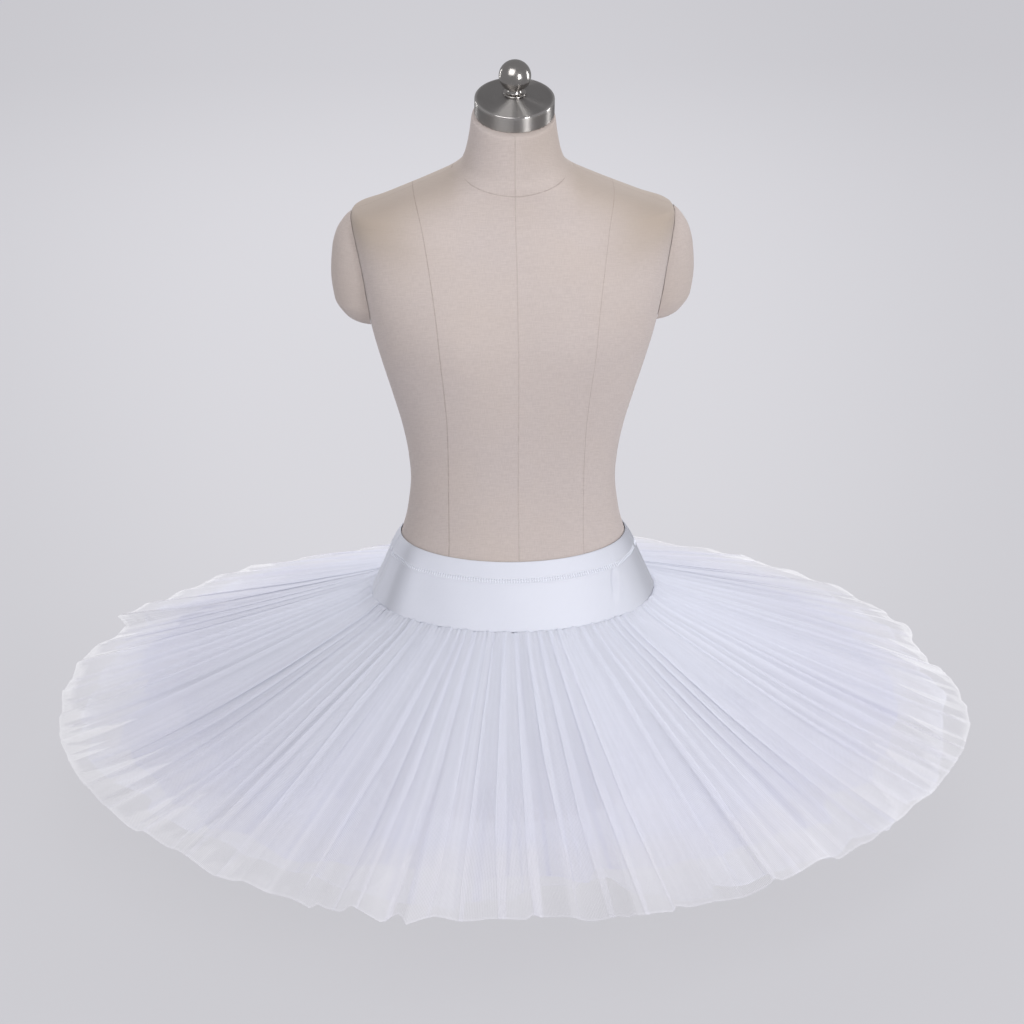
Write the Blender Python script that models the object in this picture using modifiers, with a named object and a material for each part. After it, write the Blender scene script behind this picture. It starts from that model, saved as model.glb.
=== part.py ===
"""Ballet practice tutu resting on a limbless dress form.

Metres, +Z up, the wearer's front towards -Y, the floor at z = 0.
A smooth yoke joins front to back at the sides. Under it a hip band carries four
gathered rings of net, each one shorter than the one above it.
"""

import math

import bmesh
import bpy
import numpy as np
from mathutils import Vector

PART = "ballet_tutu_on_dress_form"

# ---------------------------------------------------------------- dimensions

SEAM_GAP = 0.0004  # clearance left wherever two pieces meet

# Torso rings: height, half width, depth to the front, depth to the back,
# squareness of the section (2 is an ellipse), forward lean of the centre and
# the slope of the ring plane towards the front.
TORSO_COLUMNS = ("z", "half_width", "front", "back", "square", "forward", "slope")
TORSO_ROWS = (
    (0.0000, 0.1530, 0.1085, 0.1125, 2.0, 0.000, 0.00),
    (0.0050, 0.1572, 0.1125, 0.1165, 2.0, 0.000, 0.00),
    (0.0150, 0.1590, 0.1140, 0.1182, 2.0, 0.000, 0.00),
    (0.0900, 0.1645, 0.1210, 0.1250, 2.0, 0.000, 0.00),
    (0.1900, 0.1672, 0.1282, 0.1282, 2.0, 0.000, 0.00),
    (0.2200, 0.1612, 0.1226, 0.1226, 2.0, 0.000, 0.00),
    (0.2500, 0.1530, 0.1140, 0.1140, 2.0, 0.000, 0.00),
    (0.2900, 0.1395, 0.1010, 0.1010, 2.0, 0.000, 0.00),
    (0.3225, 0.1275, 0.0929, 0.0929, 2.0, 0.000, 0.00),
    (0.3500, 0.1205, 0.0860, 0.0850, 2.0, 0.000, 0.00),
    (0.3900, 0.1163, 0.0822, 0.0800, 2.1, 0.000, 0.00),
    (0.4200, 0.1187, 0.0840, 0.0812, 2.1, 0.000, 0.00),
    (0.4550, 0.1250, 0.0893, 0.0850, 2.2, 0.000, 0.00),
    (0.5000, 0.1372, 0.0990, 0.0905, 2.3, 0.000, 0.00),
    (0.5400, 0.1488, 0.1060, 0.0955, 2.4, 0.000, 0.00),
    (0.5750, 0.1578, 0.1085, 0.0995, 2.6, 0.000, 0.00),
    (0.6200, 0.1665, 0.1030, 0.1020, 2.9, 0.000, 0.00),
    (0.6600, 0.1730, 0.0910, 0.0985, 3.0, 0.000, 0.00),
    (0.6900, 0.1778, 0.0775, 0.0890, 2.9, 0.000, 0.00),
    (0.7040, 0.1793, 0.0680, 0.0785, 2.7, 0.000, 0.00),
    (0.7095, 0.1770, 0.0650, 0.0740, 2.6, 0.000, 0.00),
    (0.7175, 0.1563, 0.0620, 0.0685, 2.5, 0.000, 0.00),
    (0.7310, 0.1241, 0.0590, 0.0620, 2.4, 0.000, 0.00),
    (0.7440, 0.0936, 0.0575, 0.0570, 2.2, 0.001, 0.03),
    (0.7540, 0.0715, 0.0555, 0.0530, 2.1, 0.003, 0.08),
    (0.7660, 0.0572, 0.0520, 0.0495, 2.0, 0.004, 0.12),
    (0.7820, 0.0516, 0.0490, 0.0470, 2.0, 0.006, 0.17),
    (0.8030, 0.0478, 0.0465, 0.0465, 2.0, 0.008, 0.22),
    (0.8170, 0.0460, 0.0458, 0.0458, 2.0, 0.009, 0.24),
    (0.8197, 0.0452, 0.0450, 0.0450, 2.0, 0.009, 0.24),
)
TORSO_STEP = 0.036  # tallest band between two torso rings
TORSO_SIDES = 48
BUST_RISE = 0.006  # how far each side of the bust stands out
BUST_SIDE = 0.070
BUST_Z = 0.572
BUST_SPREAD = 0.045

# Shoulder caps: height, reach from the form's centre line, half depth.
CAP_COLUMNS = ("z", "reach", "half_depth")
CAP_ROWS = (
    (0.5775, 0.1660, 0.0120),
    (0.5805, 0.1765, 0.0240),
    (0.5900, 0.1885, 0.0365),
    (0.6080, 0.1990, 0.0450),
    (0.6380, 0.2024, 0.0480),
    (0.6663, 0.2005, 0.0440),
    (0.6850, 0.1958, 0.0365),
    (0.6970, 0.1890, 0.0280),
    (0.7045, 0.1830, 0.0190),
    (0.7075, 0.1795, 0.0090),
)
CAP_ROOT = 0.130  # the caps' inner ends, buried before the torso is cut away
CAP_BACK_SHIFT = 0.006
CAP_SQUARE = 2.2
CAP_SIDES = 32

NECK_TILT = math.radians(13.5)
NECK_TOP = Vector((0.0012, -0.010, 0.8400))  # centre of the steel cap's top edge
STEEL_RADIUS = 0.0439
STEEL_RIM = 0.0195
STEEL_RISE = 0.0040
STEEL_BEVEL = 0.0009
COLLAR_RADIUS = 0.0120
BALL_RADIUS = 0.0183
BALL_HEIGHT = 0.0270  # ball centre above the steel cap's top edge
BALL_STEM = 0.0066
BALL_STEPS = 11  # from the top of the ball down to its stem
STEEL_SIDES = 48
BALL_SIDES = 28

# Yoke: outer faces of its top and bottom edges.
YOKE_BOTTOM_Z = 0.2500
YOKE_TOP_Z = 0.3225
YOKE_BOTTOM = (0.1630, 0.1240)
YOKE_TOP = (0.1320, 0.0952)
YOKE_WALL = 0.0015
SIDE_SEAM_FORWARD = math.radians(6.0)  # side seams lie a little before the true sides
YOKE_COLUMNS = 40
YOKE_INSET = 0.00208  # from the yoke's outer face to the hip band's, measured level

# Hip band: outer faces of its top, of the line under the yoke and of its bottom.
BAND_WALL = 0.0012
BAND_TOP_Z = 0.2700
BAND_BOTTOM_Z = 0.1900
BAND_BOTTOM = (0.1694, 0.1304)
BAND_COLUMNS = 48

# Net tiers, from the top one down: where the head is stitched, the cloth's
# length from head to rim at the sides, its fall below level and the number of
# bands across it. All tiers share one set of gathers, so they nest.
TIER_COLUMNS = ("head_z", "length", "fall", "bands")
TIER_ROWS = (
    (0.2477, 0.3980, 22.3, 3),
    (0.2407, 0.3580, 22.7, 2),
    (0.2337, 0.3190, 23.1, 2),
    (0.2267, 0.2350, 23.5, 2),
)
TIER_WALL = 0.0013
TIER_HEAD_GAP = 0.0006
TIER_DEPTH_GAIN = 1.05  # the front and back of a tier reach this much further out
GATHERS = 48
STEPS_PER_GATHER = 4
GATHER_SPREAD = 0.30  # how unevenly the gathers are spaced
GATHER_DEPTH_SPREAD = 0.25
GATHER_AT_HEAD = 0.0012  # half the height of a gather where it is stitched
GATHER_GROWTH = 0.0105  # and how much it grows with each metre from there
RIM_UNEVEN = 0.005
SEED = 24

LINEN = (0.60, 0.54, 0.50)
STEEL = (0.55, 0.54, 0.53)
POLISHED = (0.72, 0.72, 0.73)
SATIN = (0.86, 0.87, 0.91)
NET = (0.86, 0.87, 0.93)


# ------------------------------------------------------------------- helpers


def clear_scene():
    for item in list(bpy.data.objects):
        bpy.data.objects.remove(item, do_unlink=True)


def new_collection(name, hidden=False):
    found = bpy.data.collections.new(name)
    found.hide_render = hidden
    bpy.context.scene.collection.children.link(found)
    return found


def material(name, colour, roughness, metallic=0.0):
    made = bpy.data.materials.new(name)
    made.use_nodes = True
    made.diffuse_color = (*colour, 1.0)
    shader = made.node_tree.nodes["Principled BSDF"]
    shader.inputs["Base Color"].default_value = (*colour, 1.0)
    shader.inputs["Roughness"].default_value = roughness
    shader.inputs["Metallic"].default_value = metallic
    return made


def add_object(name, vertices, faces, look, where):
    """A mesh object with its faces turned outwards."""
    mesh = bpy.data.meshes.new(name)
    mesh.from_pydata(vertices, [], faces)
    shape = bmesh.new()
    shape.from_mesh(mesh)
    bmesh.ops.recalc_face_normals(shape, faces=shape.faces)
    shape.to_mesh(mesh)
    shape.free()
    mesh.materials.append(look)
    mesh.shade_smooth()
    mesh.set_sharp_from_angle(angle=math.radians(40.0))
    made = bpy.data.objects.new(name, mesh)
    where.objects.link(made)
    return made


def table(columns, rows):
    return {name: np.array([row[i] for row in rows]) for i, name in enumerate(columns)}


def eased(at, where, values):
    """Cubic through the table's points that never overshoots them."""
    gaps = np.diff(where)
    rises = np.diff(values) / gaps
    slopes = np.zeros(len(where))
    for i in range(1, len(where) - 1):
        if rises[i - 1] * rises[i] > 0.0:
            slopes[i] = 2.0 / (1.0 / rises[i - 1] + 1.0 / rises[i])
    slopes[0] = rises[0]
    slopes[-1] = rises[-1]
    i = np.clip(np.searchsorted(where, at) - 1, 0, len(gaps) - 1)
    t = (at - where[i]) / gaps[i]
    start = (1 + 2 * t) * (1 - t) ** 2 * values[i] + t * (1 - t) ** 2 * gaps[i] * slopes[i]
    end = t * t * (3 - 2 * t) * values[i + 1] + t * t * (t - 1) * gaps[i] * slopes[i + 1]
    return start + end


def superellipse(angle, half_width, front, back, square):
    """Point of a ring at this angle; angle 0 is the +X side, 270 degrees the front."""
    c = math.cos(angle)
    s = math.sin(angle)
    x = half_width * math.copysign(abs(c) ** (2.0 / square), c)
    depth = back if s > 0.0 else front
    y = depth * math.copysign(abs(s) ** (2.0 / square), s)
    return x, y


def ring_faces(count, first, second):
    """Quads between two closed rings of the same count, as vertex offsets."""
    return [
        (first + k, first + (k + 1) % count, second + (k + 1) % count, second + k)
        for k in range(count)
    ]


def lofted(rings):
    """Closed solid through a stack of rings, with a flat fan on each end."""
    count = len(rings[0])
    vertices = [point for ring in rings for point in ring]
    faces = []
    for level in range(len(rings) - 1):
        faces += ring_faces(count, level * count, (level + 1) * count)
    for ring, first in ((rings[0], 0), (rings[-1], (len(rings) - 1) * count)):
        middle = len(vertices)
        vertices.append(tuple(np.mean(np.array(ring), axis=0)))
        faces += [(first + k, first + (k + 1) % count, middle) for k in range(count)]
    return vertices, faces


def turned(name, profile, sides, look, where, centre):
    """Solid of revolution about the tilted neck axis; profile is (radius, height)
    from the top of the axis down its outer side to the bottom of the axis."""
    mesh = bpy.data.meshes.new(name)
    points = [(radius, 0.0, height) for radius, height in profile]
    mesh.from_pydata(points, [(k, k + 1) for k in range(len(points) - 1)], [])
    mesh.materials.append(look)
    made = bpy.data.objects.new(name, mesh)
    made.location = centre
    made.rotation_euler = (NECK_TILT, 0.0, 0.0)
    where.objects.link(made)
    screw = made.modifiers.new("turn", "SCREW")
    screw.axis = "Z"
    screw.steps = sides
    screw.render_steps = sides
    screw.use_merge_vertices = True
    screw.merge_threshold = 0.00001
    screw.use_smooth_shade = True
    return made


# --------------------------------------------------------------- dress form


def torso_heights(rows):
    """Ring heights: every row of the table, with even steps between far ones."""
    heights = [rows[0]]
    for low, high in zip(rows[:-1], rows[1:]):
        steps = max(1, math.ceil((high - low) / TORSO_STEP))
        heights += [low + (high - low) * k / steps for k in range(1, steps + 1)]
    return heights


def torso_rings(grow=0.0):
    """Rings of the torso, or of the torso grown sideways by this much."""
    size = table(TORSO_COLUMNS, TORSO_ROWS)
    rings = []
    for z in torso_heights(list(size["z"])):
        half_width, front, back, square, forward, slope = (
            float(eased(z, size["z"], size[name])) for name in TORSO_COLUMNS[1:]
        )
        ring = []
        for k in range(TORSO_SIDES):
            angle = 2.0 * math.pi * k / TORSO_SIDES
            x, y = superellipse(angle, half_width + grow, front + grow, back + grow, square)
            if y < 0.0:
                away = ((abs(x) - BUST_SIDE) ** 2 + (z - BUST_Z) ** 2) / BUST_SPREAD**2
                y -= BUST_RISE * math.exp(-away) * min(1.0, -y / front)
            ring.append((x, y - forward, z + slope * y))
        rings.append(ring)
    return rings


def build_torso(look, where):
    vertices, faces = lofted(torso_rings())
    return add_object("torso_form", vertices, faces, look, where)


def build_shoulder_cap(name, side, look, where, cutters):
    """Rounded cap against the armhole, cut to the torso's side with a small gap."""
    size = table(CAP_COLUMNS, CAP_ROWS)
    rings = []
    for z, reach, half_depth in zip(size["z"], size["reach"], size["half_depth"]):
        ring = []
        for k in range(CAP_SIDES):
            angle = 2.0 * math.pi * k / CAP_SIDES
            x, y = superellipse(angle, reach - CAP_ROOT, half_depth, half_depth, CAP_SQUARE)
            ring.append((side * (CAP_ROOT + x), y + CAP_BACK_SHIFT, z))
        rings.append(ring)
    vertices, faces = lofted(rings)
    made = add_object(name, vertices, faces, look, where)
    cutter_vertices, cutter_faces = lofted(torso_rings(grow=SEAM_GAP))
    cutter = add_object(name + "_cutter", cutter_vertices, cutter_faces, look, cutters)
    cutter.hide_render = True
    cutter.display_type = "WIRE"
    cut = made.modifiers.new("armhole", "BOOLEAN")
    cut.operation = "DIFFERENCE"
    cut.solver = "EXACT"
    cut.object = cutter
    return made


def build_neck_cap(look, where):
    bottom = -STEEL_RIM
    profile = [
        (0.0, STEEL_RISE),
        (COLLAR_RADIUS, STEEL_RISE - 0.0004),
        (STEEL_RADIUS * 0.62, STEEL_RISE * 0.40),
        (STEEL_RADIUS - STEEL_BEVEL * 2.0, 0.0),
        (STEEL_RADIUS - STEEL_BEVEL * 0.3, -STEEL_BEVEL * 0.3),
        (STEEL_RADIUS, -STEEL_BEVEL),
        (STEEL_RADIUS, bottom + STEEL_BEVEL * 0.5),
        (STEEL_RADIUS - STEEL_BEVEL * 0.5, bottom),
        (0.0, bottom),
    ]
    return turned("neck_cap", profile, STEEL_SIDES, look, where, NECK_TOP)


def build_ball_finial(look, where):
    """Ball on a short waisted stem that flares into a collar on the steel cap."""
    stem_angle = math.asin(BALL_STEM / BALL_RADIUS)
    profile = []
    for k in range(BALL_STEPS + 1):
        angle = (math.pi - stem_angle) * k / BALL_STEPS
        radius = BALL_RADIUS * math.sin(angle)
        profile.append((radius, BALL_HEIGHT + BALL_RADIUS * math.cos(angle)))
    foot = STEEL_RISE + SEAM_GAP
    profile += [
        (BALL_STEM, foot + 0.0042),
        (BALL_STEM * 1.18, foot + 0.0026),
        (COLLAR_RADIUS * 0.86, foot + 0.0015),
        (COLLAR_RADIUS, foot + 0.0007),
        (COLLAR_RADIUS, foot),
        (0.0, foot),
    ]
    return turned("ball_finial", profile, BALL_SIDES, look, where, NECK_TOP)


# ------------------------------------------------------------------ garment


def walled(name, rows, closed, wall, look, where):
    """Cloth through rows of points on its middle surface, given its thickness."""
    count = len(rows[0])
    vertices = [point for row in rows for point in row]
    faces = []
    last = count if closed else count - 1
    for level in range(len(rows) - 1):
        low = level * count
        high = low + count
        for k in range(last):
            faces.append((low + k, low + (k + 1) % count, high + (k + 1) % count, high + k))
    made = add_object(name, vertices, faces, look, where)
    thick = made.modifiers.new("wall", "SOLIDIFY")
    thick.thickness = wall
    thick.offset = 0.0
    thick.use_even_offset = True
    thick.use_rim = True
    return made


def between(z, low_z, high_z, low, high):
    """Half width and half depth on the straight line between two levels."""
    t = (z - low_z) / (high_z - low_z)
    return tuple(a + (b - a) * t for a, b in zip(low, high))


def yoke_middle(z):
    outer = between(z, YOKE_BOTTOM_Z, YOKE_TOP_Z, YOKE_BOTTOM, YOKE_TOP)
    return tuple(size - YOKE_WALL * 0.5 for size in outer)


def band_outer(z):
    """Outer face of the hip band: inside the yoke above, on the hips below."""
    under_yoke = tuple(size - YOKE_INSET for size in YOKE_BOTTOM)
    if z >= YOKE_BOTTOM_Z:
        outer = between(z, YOKE_BOTTOM_Z, YOKE_TOP_Z, YOKE_BOTTOM, YOKE_TOP)
        return tuple(size - YOKE_INSET for size in outer)
    return between(z, BAND_BOTTOM_Z, YOKE_BOTTOM_Z, BAND_BOTTOM, under_yoke)


def ellipse_arc(size, z, start, end, count, closed):
    steps = count if closed else count - 1
    angles = [start + (end - start) * k / steps for k in range(count)]
    return [(size[0] * math.cos(a), size[1] * math.sin(a), z) for a in angles]


def build_yoke(name, start, end, look, where):
    """Half of the yoke, from side seam to side seam, stopping short of each seam."""
    seam = SEAM_GAP * 0.5 / YOKE_TOP[1]  # the gap's half as an angle
    heights = [YOKE_BOTTOM_Z + (YOKE_TOP_Z - YOKE_BOTTOM_Z) * t for t in (0.0, 0.5, 1.0)]
    rows = [
        ellipse_arc(yoke_middle(z), z, start + seam, end - seam, YOKE_COLUMNS, False)
        for z in heights
    ]
    return walled(name, rows, False, YOKE_WALL, look, where)


def build_hip_band(look, where):
    rows = []
    for z in (BAND_BOTTOM_Z, 0.5 * (BAND_BOTTOM_Z + YOKE_BOTTOM_Z), YOKE_BOTTOM_Z, BAND_TOP_Z):
        middle = tuple(size - BAND_WALL * 0.5 for size in band_outer(z))
        rows.append(ellipse_arc(middle, z, 0.0, 2.0 * math.pi, BAND_COLUMNS, True))
    return walled("hip_band", rows, True, BAND_WALL, look, where)


def gathers(chance):
    """Angle and relative height of the cloth at each step around the gathers."""
    weights = 1.0 + GATHER_SPREAD * chance.uniform(-1.0, 1.0, GATHERS)
    edges = np.concatenate([[0.0], np.cumsum(weights)]) / weights.sum()
    depths = 1.0 + GATHER_DEPTH_SPREAD * chance.uniform(-1.0, 1.0, GATHERS)
    columns = []
    for gather in range(GATHERS):
        following = (gather + 1) % GATHERS
        for k in range(STEPS_PER_GATHER):
            t = k / STEPS_PER_GATHER
            angle = 2.0 * math.pi * (edges[gather] + (edges[gather + 1] - edges[gather]) * t)
            depth = depths[gather] + (depths[following] - depths[gather]) * t
            columns.append((angle, depth * math.cos(2.0 * math.pi * t)))
    return columns


def build_tier(name, size, columns, look, where, chance):
    """Gathered ring of net from the hip band out to its rim."""
    head = tuple(s + TIER_HEAD_GAP for s in band_outer(size["head_z"]))
    fall = math.radians(size["fall"])
    longer = RIM_UNEVEN * chance.uniform(-1.0, 1.0, GATHERS)
    rows = []
    bands = int(size["bands"])
    for level in range(bands + 1):
        t = level / bands
        row = []
        for k, (angle, height) in enumerate(columns):
            length = size["length"] + longer[k // STEPS_PER_GATHER]
            along = t * length
            lift = height * (GATHER_AT_HEAD + GATHER_GROWTH * along)
            out = along * math.cos(fall) + t * lift * math.sin(fall)
            x = (head[0] + out) * math.cos(angle)
            y = (head[1] + out * TIER_DEPTH_GAIN) * math.sin(angle)
            row.append((x, y, size["head_z"] - along * math.sin(fall) + lift * math.cos(fall)))
        rows.append(row)
    return walled(name, rows, True, TIER_WALL, look, where)


# --------------------------------------------------------------------- build


def main():
    clear_scene()
    parts = new_collection(PART)
    cutters = new_collection("cutters", hidden=True)
    linen = material("linen", LINEN, 0.9)
    steel = material("brushed_steel", STEEL, 0.35, 1.0)
    polished = material("polished_steel", POLISHED, 0.12, 1.0)
    satin = material("yoke_satin", SATIN, 0.45)
    lining = material("hip_band_cotton", NET, 0.8)
    net = material("net", NET, 0.7)

    build_torso(linen, parts)
    build_shoulder_cap("shoulder_cap_left", 1, linen, parts, cutters)
    build_shoulder_cap("shoulder_cap_right", -1, linen, parts, cutters)
    build_neck_cap(steel, parts)
    build_ball_finial(polished, parts)

    left_seam = -SIDE_SEAM_FORWARD
    right_seam = math.pi + SIDE_SEAM_FORWARD
    build_yoke("yoke_back", left_seam, right_seam, satin, parts)
    build_yoke("yoke_front", right_seam, left_seam + 2.0 * math.pi, satin, parts)
    build_hip_band(lining, parts)

    chance = np.random.default_rng(SEED)
    columns = gathers(chance)
    for number, row in enumerate(TIER_ROWS, start=1):
        size = dict(zip(TIER_COLUMNS, row))
        build_tier(f"tier_{number}", size, columns, net, parts, chance)


main()
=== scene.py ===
# Ballet practice tutu on a limbless dress form: fine surfaces, cloth, sewing,
# materials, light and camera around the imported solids. Metres, +Z up, the
# wearer's front towards -Y, the wearer's left towards +X.

import math

import bpy
import numpy as np
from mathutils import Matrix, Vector


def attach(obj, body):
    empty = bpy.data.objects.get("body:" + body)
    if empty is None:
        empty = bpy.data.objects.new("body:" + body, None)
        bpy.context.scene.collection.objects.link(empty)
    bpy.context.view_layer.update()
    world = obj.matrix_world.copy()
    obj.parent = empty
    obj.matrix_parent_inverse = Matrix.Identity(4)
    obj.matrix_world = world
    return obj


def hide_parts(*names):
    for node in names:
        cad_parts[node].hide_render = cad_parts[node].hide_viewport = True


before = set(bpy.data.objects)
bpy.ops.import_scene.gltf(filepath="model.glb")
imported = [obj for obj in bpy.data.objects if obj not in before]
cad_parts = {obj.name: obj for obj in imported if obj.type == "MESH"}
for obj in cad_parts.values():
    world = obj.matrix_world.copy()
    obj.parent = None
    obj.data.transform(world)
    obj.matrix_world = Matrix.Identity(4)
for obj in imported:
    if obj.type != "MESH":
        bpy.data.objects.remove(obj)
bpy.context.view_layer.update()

# ---------------------------------------------------------------- dimensions

# Torso rings: height, half width, depth to the front, depth to the back,
# squareness of the section (2 is an ellipse), forward lean of the centre and
# the slope of the ring plane towards the front, both 0 where left out.
TORSO_COLUMNS = ("z", "half_width", "front", "back", "square", "forward", "slope")
TORSO_ROWS = (
    (0.0000, 0.1530, 0.1085, 0.1125, 2.0),
    (0.0050, 0.1572, 0.1125, 0.1165, 2.0),
    (0.0150, 0.1590, 0.1140, 0.1182, 2.0),
    (0.0900, 0.1645, 0.1210, 0.1250, 2.0),
    (0.1900, 0.1672, 0.1282, 0.1282, 2.0),
    (0.2200, 0.1612, 0.1226, 0.1226, 2.0),
    (0.2500, 0.1530, 0.1140, 0.1140, 2.0),
    (0.2900, 0.1395, 0.1010, 0.1010, 2.0),
    (0.3225, 0.1275, 0.0929, 0.0929, 2.0),
    (0.3500, 0.1205, 0.0860, 0.0850, 2.0),
    (0.3900, 0.1163, 0.0822, 0.0800, 2.1),
    (0.4200, 0.1187, 0.0840, 0.0812, 2.1),
    (0.4550, 0.1250, 0.0893, 0.0850, 2.2),
    (0.5000, 0.1372, 0.0990, 0.0905, 2.3),
    (0.5400, 0.1488, 0.1060, 0.0955, 2.4),
    (0.5750, 0.1578, 0.1085, 0.0995, 2.6),
    (0.6200, 0.1665, 0.1030, 0.1020, 2.9),
    (0.6600, 0.1730, 0.0910, 0.0985, 3.0),
    (0.6900, 0.1778, 0.0775, 0.0890, 2.9),
    (0.7040, 0.1793, 0.0680, 0.0785, 2.7),
    (0.7095, 0.1770, 0.0650, 0.0740, 2.6),
    (0.7175, 0.1563, 0.0620, 0.0685, 2.5),
    (0.7310, 0.1241, 0.0590, 0.0620, 2.4),
    (0.7440, 0.0936, 0.0575, 0.0570, 2.2, 0.001, 0.03),
    (0.7540, 0.0715, 0.0555, 0.0530, 2.1, 0.003, 0.08),
    (0.7660, 0.0572, 0.0520, 0.0495, 2.0, 0.004, 0.12),
    (0.7820, 0.0516, 0.0490, 0.0470, 2.0, 0.006, 0.17),
    (0.8030, 0.0478, 0.0465, 0.0465, 2.0, 0.008, 0.22),
    (0.8170, 0.0460, 0.0458, 0.0458, 2.0, 0.009, 0.24),
    (0.8197, 0.0452, 0.0450, 0.0450, 2.0, 0.009, 0.24),
)
TORSO_LEVELS = 190
TORSO_SIDES = 200
BUST_RISE = 0.006
BUST_SIDE = 0.070
BUST_Z = 0.572
BUST_SPREAD = 0.045

# Seams of the form's cover: how far the princess seam lies from the middle.
PRINCESS_COLUMNS = ("z", "x")
PRINCESS_ROWS = (
    (0.000, 0.0880),
    (0.250, 0.0830),
    (0.340, 0.0759),
    (0.410, 0.0760),
    (0.477, 0.0774),
    (0.517, 0.0803),
    (0.570, 0.0856),
    (0.610, 0.0892),
    (0.660, 0.0955),
    (0.705, 0.1028),
    (0.735, 0.1103),
    (0.820, 0.1350),
)
SIDE_SEAM_Y = 0.004
NECK_SEAM_FRONT_Z = 0.7420
NECK_SEAM_SIDE_Z = 0.7570
NECK_SEAM_BACK_Z = 0.7760
NECK_SEAM_POWER = 2.6
NECK_SEAM_REACH = 0.062  # half width of the seam that shows in front
NECK_SEAM_FADE = 0.016
MIDDLE_SEAM = (-0.0009, 0.0020)  # how far it is from x = 0, at the neck seam and at the yoke
MIDDLE_SEAM_Z = (0.743, 0.330)
FAINT_SEAM = 1.7  # how much finer the princess seam that hardly shows is
NO_SEAM = 0.05  # distance that is stored where no seam is near
SHOULDER_Z = (0.709, 0.767)  # between these heights the torso's rows follow the shoulders' crest
GRAIN_LEAN = 0.43  # how far the cover's cross threads lean with its depth

# Shoulder caps: height, reach from the form's centre line, half depth.
CAP_COLUMNS = ("z", "reach", "half_depth")
CAP_ROWS = (
    (0.5775, 0.1660, 0.0120),
    (0.5805, 0.1765, 0.0240),
    (0.5900, 0.1885, 0.0365),
    (0.6080, 0.1990, 0.0450),
    (0.6380, 0.2024, 0.0480),
    (0.6663, 0.2005, 0.0440),
    (0.6850, 0.1958, 0.0365),
    (0.6970, 0.1890, 0.0280),
    (0.7045, 0.1830, 0.0190),
    (0.7075, 0.1795, 0.0090),
)
CAP_ROOT = 0.130
CAP_BACK_SHIFT = 0.006
CAP_SQUARE = 2.2
CAP_LEVELS = 64
CAP_SIDES = 48
CAP_GAP = 0.0004
CAP_PAST_ENDS = (0.0006, 0.0004)  # how far it reaches past its lowest and highest row
CAP_OUTLINE = (0.5 * math.pi + 0.5, 801)  # half the turn searched for its outline, and points in it

NECK_TILT = math.radians(13.5)
NECK_TOP = Vector((0.0012, -0.010, 0.8400))
STEEL_RADIUS = 0.0439
STEEL_RIM = 0.0195
STEEL_RISE = 0.0040
STEEL_BEVEL = 0.0015
COLLAR_RADIUS = 0.0126
COLLAR_BEAD = 0.0014  # radius of its rounded edge
BALL_RADIUS = 0.0177
BALL_HEIGHT = 0.0270
BALL_STEM = 0.0066
BALL_LEVELS = 48
COLLAR_TOP = 0.0016  # how far it stands out round the stem
COLLAR_LEVELS = 18
COLLAR_GAP = 0.0003
# the cap's dished top, from the collar outwards: radius and height
STEEL_DISH = ((COLLAR_RADIUS, STEEL_RISE - 0.0004), (STEEL_RADIUS * 0.62, STEEL_RISE * 0.40))
STEEL_SIDES = 128
STEEL_STEP = 0.0015  # longest stretch of the cap's profile, and of the collar's
COLLAR_STEP = 0.001
POLISHED_WIDTH = 1.4 * STEEL_BEVEL
AXIS_RADIUS = 0.0002  # where a turned profile starts and ends
MAP_RADIUS = 0.004  # inside it a turned piece's cloth map no longer narrows

YOKE_BOTTOM_Z = 0.2500
YOKE_TOP_Z = 0.3225
YOKE_BOTTOM = (0.1630, 0.1240)
YOKE_TOP = (0.1320, 0.0952)
YOKE_DRAWN = (0.0024, 0.0004)  # how far the top edge draws in, at the sides and front
YOKE_DRAWN_REACH = 0.014
YOKE_TUCK = 0.0006  # how far the lower edge dips into the net
YOKE_EDGE = 0.0007  # radius of the turned top edge
YOKE_HEM = 0.0215  # how far the turned edge reaches down inside
YOKE_COLUMNS = 220  # columns of each half
YOKE_DEPTHS = (0.026, 0.013)  # its rows of points lie closest between these depths
YOKE_LEVELS = (34, 34, 10, 9, 8)  # rows down to, between and above them, over the edge, inside
YOKE_ROLL = (0.0011, 0.0014)  # how far the cloth rolls in at the side seams, and half width
YOKE_RIPPLE = (0.0003, 23.0)  # the lower edge's unevenness, and waves in a turn
YOKE_RIPPLE_DEPTH = (0.066, 0.0065)  # where it starts and how far below it is full
YOKE_SLANT = 3.0  # upward part of its outward direction, before that is made 1 long
RELIEF_DEPTH = 0.02  # how far down the corners and the slack reach their full height
SIDE_SEAM_FORWARD = math.radians(6.0)
SIDE_SEAM_GAP = 0.0004
# Its soft corners and hollows at both ends: direction in degrees, height and half
# width in radians.
CORNER_ROWS = (
    (-36.0, 0.0024, 0.12),
    (-12.0, -0.0014, 0.12),
    (216.0, 0.0022, 0.11),
    (202.0, -0.0015, 0.07),
    (191.5, 0.0014, 0.05),
)
# One sharp diagonal crease on the wearer's left, towards the hip: where its middle
# is, how far it turns with each metre down, and its ridge and groove, as heights,
# places and half widths.
CREASE_TURN = -42.0
CREASE_BELOW = 0.038
CREASE_LEAN = 2.4
CREASE_RIDGE = (0.0018, 0.05, 0.025)
CREASE_GROOVE = (0.0036, 0.0, 0.026)
CREASE_MIDDLE = 0.037
CREASE_REACH = 0.018
# Slack in the cloth: height, waves in a turn and how their phase shifts a metre down.
SLACK_ROWS = ((0.00035, 7.0, 40.0), (0.00025, 13.0, -65.0))
# Painted shade on the satin at both ends, where it turns from the lights: strength, direction in degrees and
# half width in radians.
SATIN_END_SHADE_ROWS = ((0.38, -5.0, 0.50), (0.17, 206.0, 0.11))
STITCH_ROWS = (0.0176, 0.0216)  # the needles' rows, below the top edge
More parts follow.
